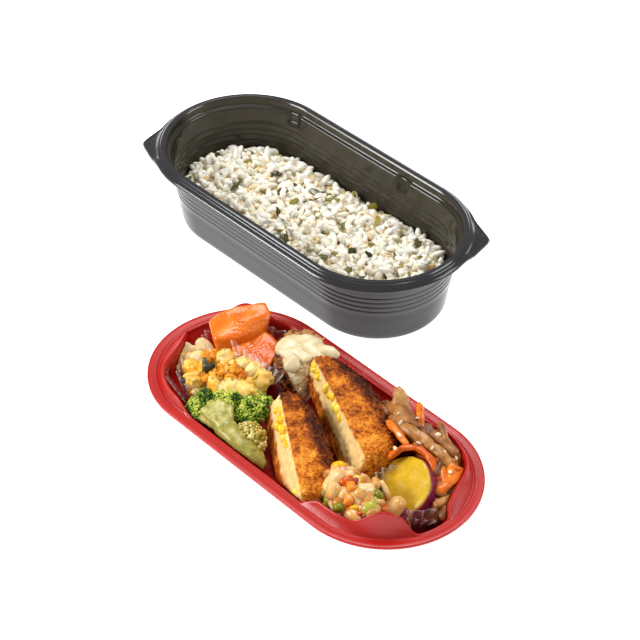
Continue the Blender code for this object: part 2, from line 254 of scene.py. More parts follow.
# %% [markdown]
# ## Small things in great number
#
# Grains, seeds, buds and crumbs are one small closed shape each, copied many times. The
# copies are scaled, turned and moved as whole arrays and then go into one mesh, with a
# random number on each copy that its material turns into a tone of its own.

# %% One small shape and many copies of it
def seed_shape(rings, sides, blunt=1.0, bend=0.0, crease=0.0):
    """A closed grain along x: its radius is (1 - x^2) ^ (blunt / 2), its middle bent by x^2.

    crease presses a furrow into its upper side.
    """
    x = np.cos(math.pi * (np.arange(rings) + 0.6) / (rings + 0.2))
    around = np.arange(sides) * 2 * math.pi / sides
    radius = (1 - x * x) ** (blunt / 2)
    furrow = 1 - crease * np.clip(np.cos(around - math.pi / 2), 0, 1) ** 6
    y = radius[:, None] * np.cos(around) * furrow
    z = radius[:, None] * np.sin(around) * furrow + bend * x[:, None] ** 2
    return closed_skin(np.stack([np.broadcast_to(-x[:, None], y.shape), y, z], axis=-1))


print("a grain of 6 rings and 8 sides has", len(seed_shape(6, 8)[0]), "points")


# %% Turns and copies
def turned(heading, tilt, roll):
    """Rotation matrices: roll about the long axis, then lift its end, then swing it round."""
    ch, sh = np.cos(heading), np.sin(heading)
    ct, st = np.cos(tilt), np.sin(tilt)
    cr, sr = np.cos(roll), np.sin(roll)
    long = np.stack([ch * ct, sh * ct, st], axis=-1)
    side = np.stack([-sh * cr - ch * st * sr, ch * cr - sh * st * sr, ct * sr], axis=-1)
    return np.stack([long, side, np.cross(long, side)], axis=-1)


def tumbled(draw, count, tilt):
    """Turns for loose things: any heading, any roll, and a tilt that spreads by so many degrees."""
    return turned(draw.uniform(0, 2 * math.pi, count), draw.normal(0, tilt, count) * DEG,
                  draw.uniform(0, 2 * math.pi, count))


def copies(shape, places, turns, sizes):
    """One array of points, its faces and each point's copy number, for all copies."""
    points, faces = shape
    made = np.einsum("nij,vj->nvi", turns * sizes[:, None, :], points) + places[:, None, :]
    start = (np.arange(len(places)) * len(points))[:, None, None]
    faces = [(part[None] + start).reshape(-1, part.shape[1]) for part in faces]
    return made.reshape(-1, 3), faces, np.repeat(np.arange(len(places)), len(points))


print("a quarter turn swings the x axis to", turned(math.pi / 2, 0.0, 0.0)[:, 0].round(3))


# %% [markdown]
# ## The two places
#
# Each container is modelled about its own middle. The middles are read from the solid
# model's boxes. The rice container stands turned by a little over half a degree.

# %% Where the containers stand
BOX_TURN = 0.64 * DEG


def middle_of(node):
    """The middle of a solid node's box, in mm, on the floor."""
    low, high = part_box(node)
    return np.array([(low.x + high.x) / 2, (low.y + high.y) / 2, 0.0]) / MM


BOX_MIDDLE = middle_of("rice_box")
TRAY_MIDDLE = middle_of("side_tray")


def in_box(points):
    """Turn about the vertical by the container's angle, then move to its middle."""
    c, s = math.cos(BOX_TURN), math.sin(BOX_TURN)
    return points @ np.array([[c, s, 0], [-s, c, 0], [0, 0, 1]]) + BOX_MIDDLE


def in_tray(points):
    """Move to the tray's middle; the tray isn't turned."""
    return points + TRAY_MIDDLE


print("middles in mm:", BOX_MIDDLE.round(2), TRAY_MIDDLE.round(2))


# %% [markdown]
# ## Stadium sheets
#
# Both containers are vacuum-formed from thin sheet, and both are stadiums: two half circles
# joined by straight sides. The skin is a profile (how far in, how high) carried round that
# outline, and a Solidify modifier gives the sheet its thickness away from the food.

# %% Columns round a stadium
def stadium_columns(stops, half, radius):
    """Each column's arc centre (its x) and outward angle, from its stop.

    A stop is a distance along the outline, from the middle of the far side and turning left.
    """
    arc = math.pi * radius
    knots = np.cumsum([0, half, arc, 2 * half, arc, half])
    centre = np.interp(stops, knots, [0, -half, -half, half, half, 0])
    normal = np.interp(stops, knots, [90, 90, 270, 270, 450, 450]) * DEG
    return centre, normal


def stadium_loop(half, radius):
    """Length of the outline: two straight sides of 2 x half and one full circle."""
    return 4 * half + 2 * math.pi * radius


def stadium_grid(columns, radius, inset, height):
    """Points at (radius - inset) from the arc centres; inset and height are rows by columns."""
    centre, normal = columns
    reach = radius - inset
    x = centre + reach * np.cos(normal)
    y = reach * np.sin(normal)
    return np.stack([x, y, np.broadcast_to(height, x.shape)], axis=-1)


def thin_sheet(piece, thickness):
    """Give the skin its thickness outwards, so that the modelled side stays the food's side."""
    wall = piece.modifiers.new("sheet", "SOLIDIFY")
    wall.thickness = thickness * MM
    wall.offset = 1.0
    wall.use_even_offset = False
    return piece


print("a stadium 100 by 50 mm is", round(stadium_loop(25, 25), 1), "mm round")


# %% [markdown]
# ## Black polypropylene
#
# The rice container is drawn from black polypropylene sheet. Plastic doesn't conduct, so
# metallic is 0, and its IOR is 1.49. The sheet came off a polished roller and kept most of
# its gloss: at a roughness of 0.13 the small radii carry bright thin lines. Inside, the black
# looks a little olive where the warm rice shines on it. That side is picked out by the
# surface's own direction: its normal points against the outline's outward direction.

# %% Black sheet material
# Black polypropylene, drawn over a warm mould: a deep black that shows grey only by its
# gloss, with faint drawing marks in the reflections.
BLACK_SHEET, tree, shader = new_material(
    "black_polypropylene_moulded", Metallic=0.0, Roughness=0.13, IOR=1.49)
where = add(tree, "ShaderNodeTexCoord").outputs["Object"]
inside = add(tree, "ShaderNodeAttribute", attribute_name="inside").outputs["Fac"]
outward = add(tree, "ShaderNodeCombineXYZ", {
    axis: add(tree, "ShaderNodeAttribute", attribute_name=f"out_{axis.lower()}").outputs["Fac"]
    for axis in ("X", "Y")})
lean = add(tree, "ShaderNodeVectorMath", {
    0: outward.outputs[0], 1: add(tree, "ShaderNodeNewGeometry").outputs["Normal"]},
    operation="DOT_PRODUCT")
food_side = add(tree, "ShaderNodeMath", {0: lean.outputs["Value"], 1: -4.0, 2: 0.5},
                operation="MULTIPLY_ADD", use_clamp=True)
olive = add(tree, "ShaderNodeMath", {0: inside, 1: food_side.outputs[0]}, operation="MULTIPLY")
tone = add(tree, "ShaderNodeMix", {0: olive.outputs[0], 6: linear("#28282b"),
                                   7: linear("#353127")}, data_type="RGBA")
print(BLACK_SHEET.name, "is coloured by", len(tree.nodes) - 2, "nodes")


# %% Drawing marks of a formed sheet
FLOW_LINE = 3.0                # mm between the faint marks


def drawing_marks(tree, where):
    """Very low, soft relief that sheet keeps from being drawn over its mould."""
    marks = add(tree, "ShaderNodeTexNoise", {"Vector": where, "Scale": 1 / (FLOW_LINE * MM),
                                             "Detail": 4.0, "Roughness": 0.6})
    relief = add(tree, "ShaderNodeBump", {"Height": marks.outputs["Fac"], "Strength": 0.05,
                                          "Distance": 0.1 * MM})
    return relief.outputs["Normal"]


finish_surface(tree, shader, tone.outputs[2], drawing_marks(tree, where))
print(BLACK_SHEET.name, "with marks", FLOW_LINE, "mm apart")

# %% [markdown]
# ## The rice container
#
# From the floor the wall leans out and carries five moulded steps, 3.76 mm apart. Above
# them comes a smooth band, a narrow ledge for the lid, the rounded rim, a bead that the lid
# snaps over, and the lip. It could be cut from a solid with booleans, but one profile carried
# round the outline gives clean rows that catch the light as the real radii do.

# %% Profile of the rice container
BOX_LENGTH, BOX_WIDTH, BOX_TOP = 233.2, 116.9, 54.7
BOX_HALF, BOX_RADIUS = (BOX_LENGTH - BOX_WIDTH) / 2, BOX_WIDTH / 2
SHEET = 0.6                    # mm, the sheet's thickness
RIB_PITCH, RIB_DEPTH, RIBS = 3.76, 0.38, 5
RIB_LOW = 21.4                 # mm up to the lowest step


def wall_inset(height):
    """The wall's lean: 16.2 mm in at 3.6 mm up, and 9.6 mm in at the ledge."""
    return 16.2 + (height - 3.6) * (9.6 - 16.2) / (BOX_TOP - 5.5 - 3.6)


def box_profile():
    """Rows of the skin from the floor's edge up the wall and over the rim to the lip."""
    corner = smooth_path([(24.0, 0.6), (20.5, 0.65), (18.0, 1.2), (16.7, 2.4),
                          (16.0, 5.0), (wall_inset(8.5), 8.5), (wall_inset(13), 13.0),
                          (wall_inset(17.5), 17.5)], 3)
    phase = np.array([0.0, 0.2, 0.4, 0.6, 0.8, 0.93])
    height = (RIB_LOW + RIB_PITCH * (np.arange(RIBS)[:, None] + phase)).ravel()
    groove = np.tile(RIB_DEPTH * (0.3 * (1 - phase) + 0.7 * (1 - phase) ** 2), RIBS)
    ribs = np.stack([wall_inset(height) + groove, height], axis=1)
    band = np.stack([wall_inset(np.linspace(42.4, 47.2, 8)), np.linspace(42.4, 47.2, 8)], axis=1)
    t = BOX_TOP
    ledge = smooth_path([(10.6, t - 6.8), (10.45, t - 6.4), (10.05, t - 5.98), (9.6, t - 5.95),
                         (8.75, t - 5.9), (8.15, t - 5.3), (8.05, t - 4.7), (7.9, t - 1.7),
                         (7.78, t - 1.1), (6.95, t - 0.18), (6.4, t), (4.95, t), (4.65, t - 0.06),
                         (4.05, t - 0.62), (3.9, t - 0.74), (3.4, t - 0.96), (2.9, t - 1.18),
                         (2.76, t - 1.28), (2.5, t - 1.54), (2.36, t - 1.64)], 3)
    return np.concatenate([corner, ribs, band, ledge])


profile = box_profile()
print("rice container profile rows:", len(profile))


# %% [markdown]
# ## Ears and finger pockets
#
# Two opposite corners of the lip run out to a pointed ear, where fingers lift the lid. Its
# flanks are tangents to the lip's circle, so the reach follows from one angle. Two finger
# pockets are pressed out of the smooth band of each long wall, the same after half a turn.
# Both are changes to the same grid: the ears move the lip's rows out, and the pockets move
# the band's rows out.

# %% Where the columns stand
POCKETS, POCKET_HALF, POCKET_DEPTH = (-68.5, 31.5), 5.1, 1.7
EVEN_COLUMNS, LEAST_GAP = 220, 0.8


def container_stops(loop):
    """Even columns, and pairs of close ones where a pocket's upright edges rise and end.

    An even column nearer than LEAST_GAP to such an edge is left out: a sliver of a face
    between them would catch the light.
    """
    edges = [shift - (at + way * POCKET_HALF) for shift in (0, loop / 2)
             for at in POCKETS for way in (-1.0, -0.88, 0.88, 1.0)]
    edges = np.mod(edges, loop)
    even = np.arange(EVEN_COLUMNS) * loop / EVEN_COLUMNS
    apart = np.abs(even[:, None] - edges).min(axis=1) > LEAST_GAP
    return np.sort(np.concatenate([even[apart], edges]))


def pocket_press(stops, loop):
    """How far out each row and column is pressed: depth x (row's share) x (column's share)."""
    run = np.mod(stops + loop / 4, loop / 2) - loop / 4
    across = sum(np.clip((POCKET_HALF - np.abs(-run - at)) / 0.6, 0, 1) for at in POCKETS)
    inset, height = profile.T
    upright = np.clip((height - 41.0) / 1.6, 0, 1) * np.clip((BOX_TOP - 5.4 - height) / 0.4, 0, 1)
    upright[inset < 8.1] = 0
    return POCKET_DEPTH * upright[:, None] * across[None, :]


print("columns in the container:", len(container_stops(stadium_loop(BOX_HALF, BOX_RADIUS))))


# %% The lip and its ears
EAR_ANGLE, EAR_TANGENT, EAR_ROUND, EAR_DROOP = 40.0, 29.8, 1.0, 2.3
# For each row of the lip: its share of the ear's reach, its inset where there is no ear, its
# drop below the top and how much it rises on the ear, the last three in mm.
LIP = np.array([(0.0, 2.2, 1.75, 0.0), (0.1, 2.0, 1.88, 0.1), (0.22, 1.8, 2.0, 0.6),
                (0.3, 1.6, 2.15, 0.65), (0.38, 1.4, 2.28, 0.1), (0.6, 1.25, 2.4, 0.0),
                (0.85, 1.1, 2.5, 0.1), (0.95, 1.0, 2.58, 0.3), (1.0, 0.85, 2.7, 0.25),
                (1.0, 0.08, 3.5, 0.0), (1.0, 0.0, 3.75, 0.0), (1.0, 0.0, 4.8, 0.0)])


def ear_reach(normal):
    """How far the lip runs out: radius / cos(tangent - angle) - radius, rounded at the tip."""
    away = np.abs(np.angle(np.exp(2j * (normal - EAR_ANGLE * DEG)))) / 2 / DEG
    away = np.hypot(away, EAR_ROUND)
    lean = np.clip(EAR_TANGENT - away, 0, None) * DEG
    return BOX_RADIUS / np.cos(lean) - BOX_RADIUS


def lip_rows(reach):
    """The lip's inset and height: an ear takes the rows out, lifts its rim and droops."""
    share, start, drop, rise = LIP.T[:, :, None]
    height = (BOX_TOP - drop + rise * np.clip(reach / 4, 0, 1)
              - EAR_DROOP * np.clip(share * 5, 0, 1) * smoothstep(reach / 2))
    return start - share * reach, height


print("an ear runs out", round(float(ear_reach(EAR_ANGLE * DEG)), 1), "mm")


# %% The container itself
def build_rice_container():
    """The profile's rows and the lip's rows carried round the outline, floor and all.

    inside is 1 up to the rim's crown; out_x and out_y hold each column's outward direction.
    """
    loop = stadium_loop(BOX_HALF, BOX_RADIUS)
    stops = container_stops(loop)
    columns = stadium_columns(stops, BOX_HALF, BOX_RADIUS)
    wall_in = profile[:, :1] - pocket_press(stops, loop)
    wall_up = np.broadcast_to(profile[:, 1:], wall_in.shape)
    lip_in, lip_up = lip_rows(ear_reach(columns[1]))
    grid = stadium_grid(columns, BOX_RADIUS, np.concatenate([wall_in, lip_in]),
                        np.concatenate([wall_up, lip_up]))
    crown = int(np.argmax(profile[:, 1] > BOX_TOP - 0.06))
    rows, across = grid.shape[:2]
    out = columns[1] + BOX_TURN
    values = {"inside": np.append(np.repeat(np.arange(rows) < crown, across), 1.0),
              "out_x": np.append(np.tile(np.cos(out), rows), 0.0),
              "out_y": np.append(np.tile(np.sin(out), rows), 0.0)}
    points, faces = floored_skin(grid, [0.0, 0.0, 0.6])
    piece = put_in_mesh("rice_container", in_box(points), faces, BLACK_SHEET, values)
    thin_sheet(piece, SHEET)
    return belongs(piece, "black_plastic", "rice_box")


build_rice_container()


# %% Knobs on the ears
def build_ear_pips():
    """Two small moulded knobs on the tip of each ear, where the containers stack."""
    out = BOX_RADIUS + ear_reach(EAR_ANGLE * DEG) - np.array([6.2, 4.2])
    angle = np.array([EAR_ANGLE - 1.0, EAR_ANGLE + 1.0]) * DEG
    spot = np.stack([BOX_HALF + out * np.cos(angle), out * np.sin(angle)], axis=-1)
    places = np.column_stack([np.concatenate([spot, -spot]),
                              np.full(4, BOX_TOP - 2.5 - EAR_DROOP)])
    points, faces, number = copies(seed_shape(7, 12), places, turned(*np.zeros((3, 4))),
                                   np.full((4, 3), 0.9))
    pips = put_in_mesh("ear_pips", in_box(points), faces, BLACK_SHEET, {"inside": 0 * number})
    return belongs(pips, "black_plastic")


build_ear_pips()

# %% [markdown]
# ## Red polypropylene
#
# The tray is the same kind of sheet in a strong warm red, drawn over a mould with a satin
# face: its roughness is twice the black's, so its highlights are broad. Deep inside, the red
# goes dark because light reaches it only after many bounces. The tall petals carry fine
# moulded lines. Real ones are under a millimetre apart, too fine to show, so they are drawn
# 1.3 mm apart, as a sine of the way round the tray that only the petals' outsides take.

# %% Red sheet material
# Red polypropylene, drawn and satin: an even, slightly clouded red with soft white lights.
RED_SHEET, tree, shader = new_material(
    "red_polypropylene_moulded", Metallic=0.0, Roughness=0.27, IOR=1.49,
    Specular_IOR_Level=0.4)
where = add(tree, "ShaderNodeTexCoord").outputs["Object"]
cloud = add(tree, "ShaderNodeTexNoise", {"Vector": where, "Scale": 1 / (40 * MM), "Detail": 2.0})
tone = add(tree, "ShaderNodeMix", {0: cloud.outputs["Fac"], 6: linear("#a81511"),
                                   7: linear("#b81c14")}, data_type="RGBA")
print(RED_SHEET.name, "is coloured by", len(tree.nodes) - 2, "nodes")

# %% Fine lines on the petals
HATCH = 1.3                    # mm between the lines
run = add(tree, "ShaderNodeAttribute", attribute_name="run").outputs["Fac"]
petal = add(tree, "ShaderNodeAttribute", attribute_name="petal").outputs["Fac"]
turns = add(tree, "ShaderNodeMath", {0: run, 1: 2 * math.pi / HATCH}, operation="MULTIPLY")
lines = add(tree, "ShaderNodeMath", {0: turns.outputs[0]}, operation="SINE")
hatch = add(tree, "ShaderNodeMath", {0: lines.outputs[0], 1: petal}, operation="MULTIPLY")
relief = add(tree, "ShaderNodeBump", {"Height": hatch.outputs[0], "Strength": 0.5,
                                      "Distance": 0.08 * MM, "Normal": drawing_marks(tree, where)})
finish_surface(tree, shader, tone.outputs[2], relief.outputs["Normal"])
print(RED_SHEET.name, "with lines", HATCH, "mm apart")

# %% [markdown]
# ## The side tray
#
# A flat rim runs round the tray. Inside it the sheet rises into four petals and drops again
# to the food: two opposite quarters carry a tall wave and the other two a low shelf. The
# crest's height and distance in are functions of the angle round the nearer end, and the
# whole profile is tied to the crest, so one grid makes rim, petals, wall and floor.

# %% Crest line of the petals
TRAY_LENGTH, TRAY_WIDTH, TRAY_RIM = 225.0, 108.4, 20.0
TRAY_HALF, TRAY_RADIUS = (TRAY_LENGTH - TRAY_WIDTH) / 2, TRAY_WIDTH / 2
FLANGE = 5.8                   # mm of flat rim


def petal_crest(columns):
    """How far in and how high the crest runs, by the angle in degrees round the nearer end.

    On the straight sides the angle runs on, 1 degree for each 0.84 mm. Half a turn of the
    tray gives the same shape.
    """
    centre, normal = columns
    normal = np.angle(np.exp(1j * (normal - math.pi * (centre < 0)))) / DEG
    angle = normal + np.sign(normal) * (TRAY_HALF - np.abs(centre)) / 0.84
    wave = plateau(angle, -112, -23, 16, 9)
    tall = bump(angle, -45, 26)
    shelf = plateau(angle, 0, 104, 9, 20)
    deep = shelf * bump(angle, 24, 34)
    inset = 6.6 + 4.0 * wave + 1.2 * tall + 1.8 * shelf + 4.8 * deep
    height = 19.3 + 5.2 * wave + 9.2 * tall + 4.9 * shelf
    return inset, height


print("a tall petal stands", round(float(petal_crest((TRAY_HALF, -45 * DEG))[1]), 1), "mm high")


# %% The tray's profile
def tray_rows(crest_in, crest_up):
    """Knots (inset, height), each an array with one value a column, joined smoothly.

    From the floor up the wall to the crest, down the petal's outside and out over the rim.
    """
    lift = crest_up - (TRAY_RIM - 0.7)
    wide = crest_in - FLANGE
    wall = np.maximum(crest_in + 2.6, 13.0)
    inner = [(30, 0.6), (24, 0.6), (21, 1.6), (19.2, 3.8), (0.6 * wall + 7.4, 7.6),
             (wall - 0.4, 12.0), (crest_in + 2.0, crest_up - 2.6),
             (crest_in + 1.15, crest_up - 0.55), (crest_in + 0.65, crest_up),
             (crest_in + 0.05, crest_up - 0.2)]
    outer = [(FLANGE + 0.72 * wide, crest_up - 0.42 * lift - 0.1),
             (FLANGE + 0.42 * wide, crest_up - 0.75 * lift - 0.1),
             (FLANGE + 0.15 * wide + 0.1, crest_up - 0.97 * lift - 0.15)]
    rim = [(FLANGE, -0.75), (FLANGE - 0.5, -0.35), (FLANGE - 1.4, -0.3), (2.5, -0.05), (0.8, 0.0),
           (0.15, -0.35), (0.0, -1.4)]
    rim = [(inset, TRAY_RIM + height) for inset, height in rim]
    flat = np.ones_like(crest_in)
    return smooth_path([(inset * flat, height * flat) for inset, height in inner + outer + rim], 3)


print("rows in the tray's profile:", len(tray_rows(np.full(1, 6.6), np.full(1, 19.3))))


# %% The tray itself
TRAY_COLUMNS = 340


def build_side_tray():
    """The rows carried round the outline. petal is 1 on the tall petals' outsides."""
    loop = stadium_loop(TRAY_HALF, TRAY_RADIUS)
    stops = np.arange(TRAY_COLUMNS) * loop / TRAY_COLUMNS
    columns = stadium_columns(stops, TRAY_HALF, TRAY_RADIUS)
    crest_in, crest_up = petal_crest(columns)
    inset, height = tray_rows(crest_in, crest_up).swapaxes(0, 1)
    grid = stadium_grid(columns, TRAY_RADIUS, inset, height)
    outside = smoothstep((crest_in + 0.3 - inset) / 0.4) * smoothstep((inset - FLANGE) / 0.8)
    petal = outside * np.clip((crest_up - 22) / 3, 0, 1)
    values = {"run": np.append(np.broadcast_to(stops, inset.shape), 0.0),
              "petal": np.append(petal, 0.0)}
    points, faces = floored_skin(grid, [0.0, 0.0, 0.6])
    piece = put_in_mesh("side_dish_tray", in_tray(points), faces, RED_SHEET, values)
    thin_sheet(piece, SHEET)
    return belongs(piece, "red_plastic", "side_tray")


build_side_tray()

# %% [markdown]
# ## Cooked rice
#
# Cooked short-grain rice is ivory white and slightly see-through, so some light scatters
# under its skin (a millimetre or two). It is moist: roughness 0.34 gives soft small
# highlights. Each grain's own tint picks its tone, and a few are stained by the seasoning;
# the sunk grains and the core under them take browner tones, as painted shade between grains.

# %% Rice
def tint_ramp(tree, stops):
    """The colour that a ramp gives for the piece's own tint."""
    tint = add(tree, "ShaderNodeAttribute", attribute_name="tint").outputs["Fac"]
    return add(tree, "ShaderNodeValToRGB", {"Fac": tint}, stops).outputs["Color"]


# Short-grain rice, steamed until its starch swells: pale, soft-edged, lit from inside.
COOKED_RICE, tree, shader = new_material(
    "cooked_rice_moist", Roughness=0.34, IOR=1.38, Subsurface_Weight=0.5,
    Subsurface_Scale=1.6 * MM, Subsurface_Radius=(1.0, 0.75, 0.45))
# Its browner tones: the seasoning's stain on a few grains, painted shade on the lower ones.
finish_surface(tree, shader, tint_ramp(tree, [(0.0, "#f6f1e4"), (0.35, "#eee3ca"),
                                              (0.65, "#dfc894"), (1.0, "#bc9250")]))
print(COOKED_RICE.name, "from ivory to the brown of its seasoning")

# %% Barley and greens
# Pearl barley, rolled and boiled with the rice: duller and browner, with a dark crease.
PEARL_BARLEY, tree, shader = new_material(
    "pearl_barley_moist", Roughness=0.4, IOR=1.38, Subsurface_Weight=0.15,
    Subsurface_Scale=1.0 * MM, Subsurface_Radius=(1.0, 0.7, 0.4))
crease = add(tree, "ShaderNodeAttribute", attribute_name="crease").outputs["Fac"]
body = tint_ramp(tree, [(0.0, "#e6d6b2"), (1.0, "#d3b47c")])
tone = add(tree, "ShaderNodeMix", {0: crease, 6: body, 7: linear("#8a5f2c")}, data_type="RGBA")
finish_surface(tree, shader, tone.outputs[2])

# Leaf greens, pickled and chopped: from olive to nearly black, with a wet satin shine.
GREENS, tree, shader = new_material("chopped_pickled_greens", Roughness=0.35, IOR=1.4)
finish_surface(tree, shader, tint_ramp(tree, [(0.0, "#262a10"), (0.3, "#4c4a14"),
                                              (0.65, "#7c701a"), (1.0, "#a09038")]))
print("rice materials:", COOKED_RICE.name, PEARL_BARLEY.name, GREENS.name)


# %% [markdown]
# ## The heap of rice
#
# A rough core fills the container, a little lower than the rice. Grains lie on it in layers:
# one sunk in the core, one on top, some loose ones standing up, and barley among them. A
# real heap has thousands more below, which nobody sees, so they aren't made. Positions come
# from a jittered grid, so that they cover evenly without a pattern.

# %% The rice's surface
def rice_top(x, y):
    """Height of the rice: it starts 18 mm up at the wall and swells inwards, with soft lumps."""
    past = np.clip(np.abs(x) - BOX_HALF, 0, None)
    inward = BOX_RADIUS - np.hypot(past, y) - 14.0
    spot = np.stack([x, y, np.zeros_like(x)], axis=-1)
    lumps = 1.5 * noise(spot, 17.0, 3) + 5.5 * (0.42 - np.abs(noise(spot, 13.0, 4)))
    swell = 1 - np.exp(-np.clip(inward, 0, None) / 10)
    return 17.6 + 6.8 * swell + lumps * np.sqrt(swell)


def kept_in(points):
    """Rice kept off the container: no further out than half a millimetre from its wall."""
    x, y, z = points.T
    centre = np.clip(x, -BOX_HALF, BOX_HALF)
    limit = BOX_RADIUS - wall_inset(z) - 0.5
    pull = np.minimum(1.0, limit / np.maximum(np.hypot(x - centre, y), 1.0))
    return np.stack([centre + (x - centre) * pull, y * pull, z], axis=-1)


print("rice stands", rice_top(np.zeros(1), np.zeros(1)).round(1)[0], "mm high in the middle")


# %% Its core
def build_rice_core():
    """Rings up the container's wall, then rings inwards over the rice's surface, 1.3 mm low."""
    loop = stadium_loop(BOX_HALF, BOX_RADIUS)
    columns = stadium_columns(np.arange(360) * loop / 360, BOX_HALF, BOX_RADIUS)
    low = stadium_grid(columns, BOX_RADIUS, np.array([[20.0], [17.6], [16.6], [15.0]]),
                       np.array([[0.95], [1.6], [4.0], [13.0]]))
    inset = np.concatenate([[15.6], np.linspace(16.6, 55.5, 36)])[:, None]
    top = stadium_grid(columns, BOX_RADIUS, inset, 0.0)
    top[..., 2] = rice_top(top[..., 0], top[..., 1]) - 1.3
    top[..., 0] *= np.linspace(1, 0.93, len(top))[:, None]
    points, faces = closed_skin(np.concatenate([low, top]))
    upper = (points[:, 2] > 15)[:, None]
    points = points + (roughened(points, 0.5, 3.2, 15) - points) * upper
    # Its tan tint is painted shade in the gaps between the grains that lie on it.
    deep = 0.4 + 0.25 * noise(points, 6.0, 16)
    core = put_in_mesh("rice_core", in_box(kept_in(points)), faces, COOKED_RICE, {"tint": deep})
    return belongs(core, "rice", "rice")


build_rice_core()


# %% Where grains lie
def scattered(pitch, seed, margin):
    """Points of a jittered grid that lie inside the rice container, margin mm off its wall."""
    draw = np.random.default_rng(seed)
    across = np.arange(-BOX_HALF - BOX_RADIUS, BOX_HALF + BOX_RADIUS, pitch)
    along = np.arange(-BOX_RADIUS, BOX_RADIUS, pitch)
    x, y = (part.ravel() for part in np.meshgrid(across, along))
    x, y = np.stack([x, y]) + draw.uniform(-0.5, 0.5, (2, len(x))) * pitch
    wall = BOX_RADIUS - np.hypot(np.clip(np.abs(x) - BOX_HALF, 0, None), y)
    inside = wall > wall_inset(20.0) + margin
    return x[inside], y[inside], draw


print("places 5 mm apart:", len(scattered(5.0, 1, 3.6)[0]))


# %% Grains of rice and barley
def grain_layer(name, pitch, seed, depth, tilt, shape, size, material, tints, share=1.0):
    """One layer of grains, depth mm below the rice's top; share of the places is used.

    A furrow's deepest points, on top of the shape and near its middle line, get a crease.
    """
    x, y, draw = scattered(pitch, seed, 3.6)
    keep = draw.uniform(size=len(x)) < share
    x, y = x[keep], y[keep]
    z = rice_top(x, y) - depth + draw.normal(0, 0.45, len(x))
    turns = tumbled(draw, len(x), tilt)
    sizes = np.array(size) * draw.normal(1, 0.09, (len(x), 3)).clip(0.75, 1.25)
    points, faces, number = copies(shape, np.stack([x, y, z], axis=-1), turns, sizes)
    tint = draw.uniform(*tints, len(x)) ** 1.6
    values = {"tint": tint[number]}
    if material is PEARL_BARLEY:
        upper = shape[0][:, 2] > 0.55 * np.abs(shape[0][:, 1]) + 0.25
        values["crease"] = np.tile(upper * (np.abs(shape[0][:, 1]) < 0.15), len(x))
    piece = put_in_mesh(name, in_box(kept_in(points)), faces, material, values)
    return belongs(piece, "rice")


RICE_GRAIN = seed_shape(6, 8, blunt=1.0, bend=-0.1)
BARLEY_GRAIN = seed_shape(7, 12, blunt=0.9, crease=0.3)
# The sunk layer draws browner tints than the layers above it: painted shade among grains.
LAYERS = (
    ("rice_grains_under", 3.6, 11, 1.3, 22, RICE_GRAIN, (3.8, 2.0, 1.8), COOKED_RICE, (0.4, 0.9)),
    ("rice_grains_over", 4.1, 12, 0.0, 30, RICE_GRAIN, (4.6, 2.35, 2.0), COOKED_RICE, (0.0, 0.5)),
    ("rice_grains_loose", 5.2, 13, -1.3, 40, RICE_GRAIN, (4.6, 2.25, 2.0), COOKED_RICE,
     (0.0, 0.3), 0.5),
    ("barley_grains", 5.2, 14, -0.3, 22, BARLEY_GRAIN, (3.3, 2.1, 1.6), PEARL_BARLEY,
     (0.0, 1.0), 0.26))
for layer in LAYERS:
    grain_layer(*layer)


# %% Chopped greens among the grains
def build_greens():
    """Flat flakes: a seed shape squeezed thin, with its outline torn by noise."""
    x, y, draw = scattered(8.5, 21, 5.0)
    keep = draw.uniform(size=len(x)) < 0.55
    x, y = x[keep], y[keep]
    z = rice_top(x, y) + draw.uniform(1.0, 3.0, len(x))
    turns = turned(draw.uniform(0, 2 * math.pi, len(x)), draw.normal(0, 25, len(x)) * DEG,
                   draw.normal(0, 30, len(x)) * DEG)
    sizes = np.stack([draw.uniform(2.0, 6.4, len(x)), draw.uniform(1.0, 3.0, len(x)),
                      np.full(len(x), 0.35)], axis=-1)
    points, faces, number = copies(seed_shape(7, 10, blunt=0.6), np.stack([x, y, z], axis=-1),
                                   turns, sizes)
    points = roughened(points, 0.5, 3.5, 5)
    flakes = put_in_mesh("chopped_greens", in_box(kept_in(points)), faces, GREENS,
                         {"tint": draw.uniform(0, 1, len(x))[number]})
    return belongs(flakes, "rice")


build_greens()

# %% [markdown]
# ## Shapes for the side dishes
#
# Five kinds of shape make nearly all the side dishes. A cut body is a hull with rounded edges:
# along each direction it ends where the nearest cutting plane ends it. A rod is an oval or a
# rounded square carried along a path. A disc is a short cylinder with rounded edges. A dome
# is a heap, and a spiral spreads pieces over it. The grain from the rice also makes beans,
# kernels, buds and crumbs.

# %% Cut bodies
CUBE = np.array(list(itertools.product((-1, 1), repeat=3)), float)


def rays(rings, sides):
    """Unit directions all round, in rings from the lower pole to the upper one."""
    up = math.pi * (np.arange(rings) + 0.5) / rings
    around = np.arange(sides) * 2 * math.pi / sides
    wide = np.sin(up)[:, None]
    return np.stack([wide * np.cos(around), wide * np.sin(around),
                     -np.cos(up)[:, None] + 0 * around], axis=-1)


def hull_planes(corners):
    """The middle of a hull, and the unit normal and distance of each face from it.

    Of all planes through three corners, the faces are those with no corner beyond them.
    """
    middle = corners.mean(axis=0)
    trios = np.array(list(itertools.combinations(range(len(corners)), 3))).T
    a, b, c = corners[trios]
    normal = np.cross(b - a, c - a)
    size = np.linalg.norm(normal, axis=1)
    normal, a = normal[size > 1e-6] / size[size > 1e-6, None], a[size > 1e-6]
    reach = ((a - middle) * normal).sum(axis=1)
    normal, reach = normal * np.sign(reach)[:, None], np.abs(reach)
    beyond = ((corners - middle) @ normal.T - reach).max(axis=0)
    faces = (beyond < 0.01) & (reach > 0.01)
    planes = np.unique(np.column_stack([normal, reach])[faces].round(3), axis=0)
    return middle, planes[:, :3], planes[:, 3]


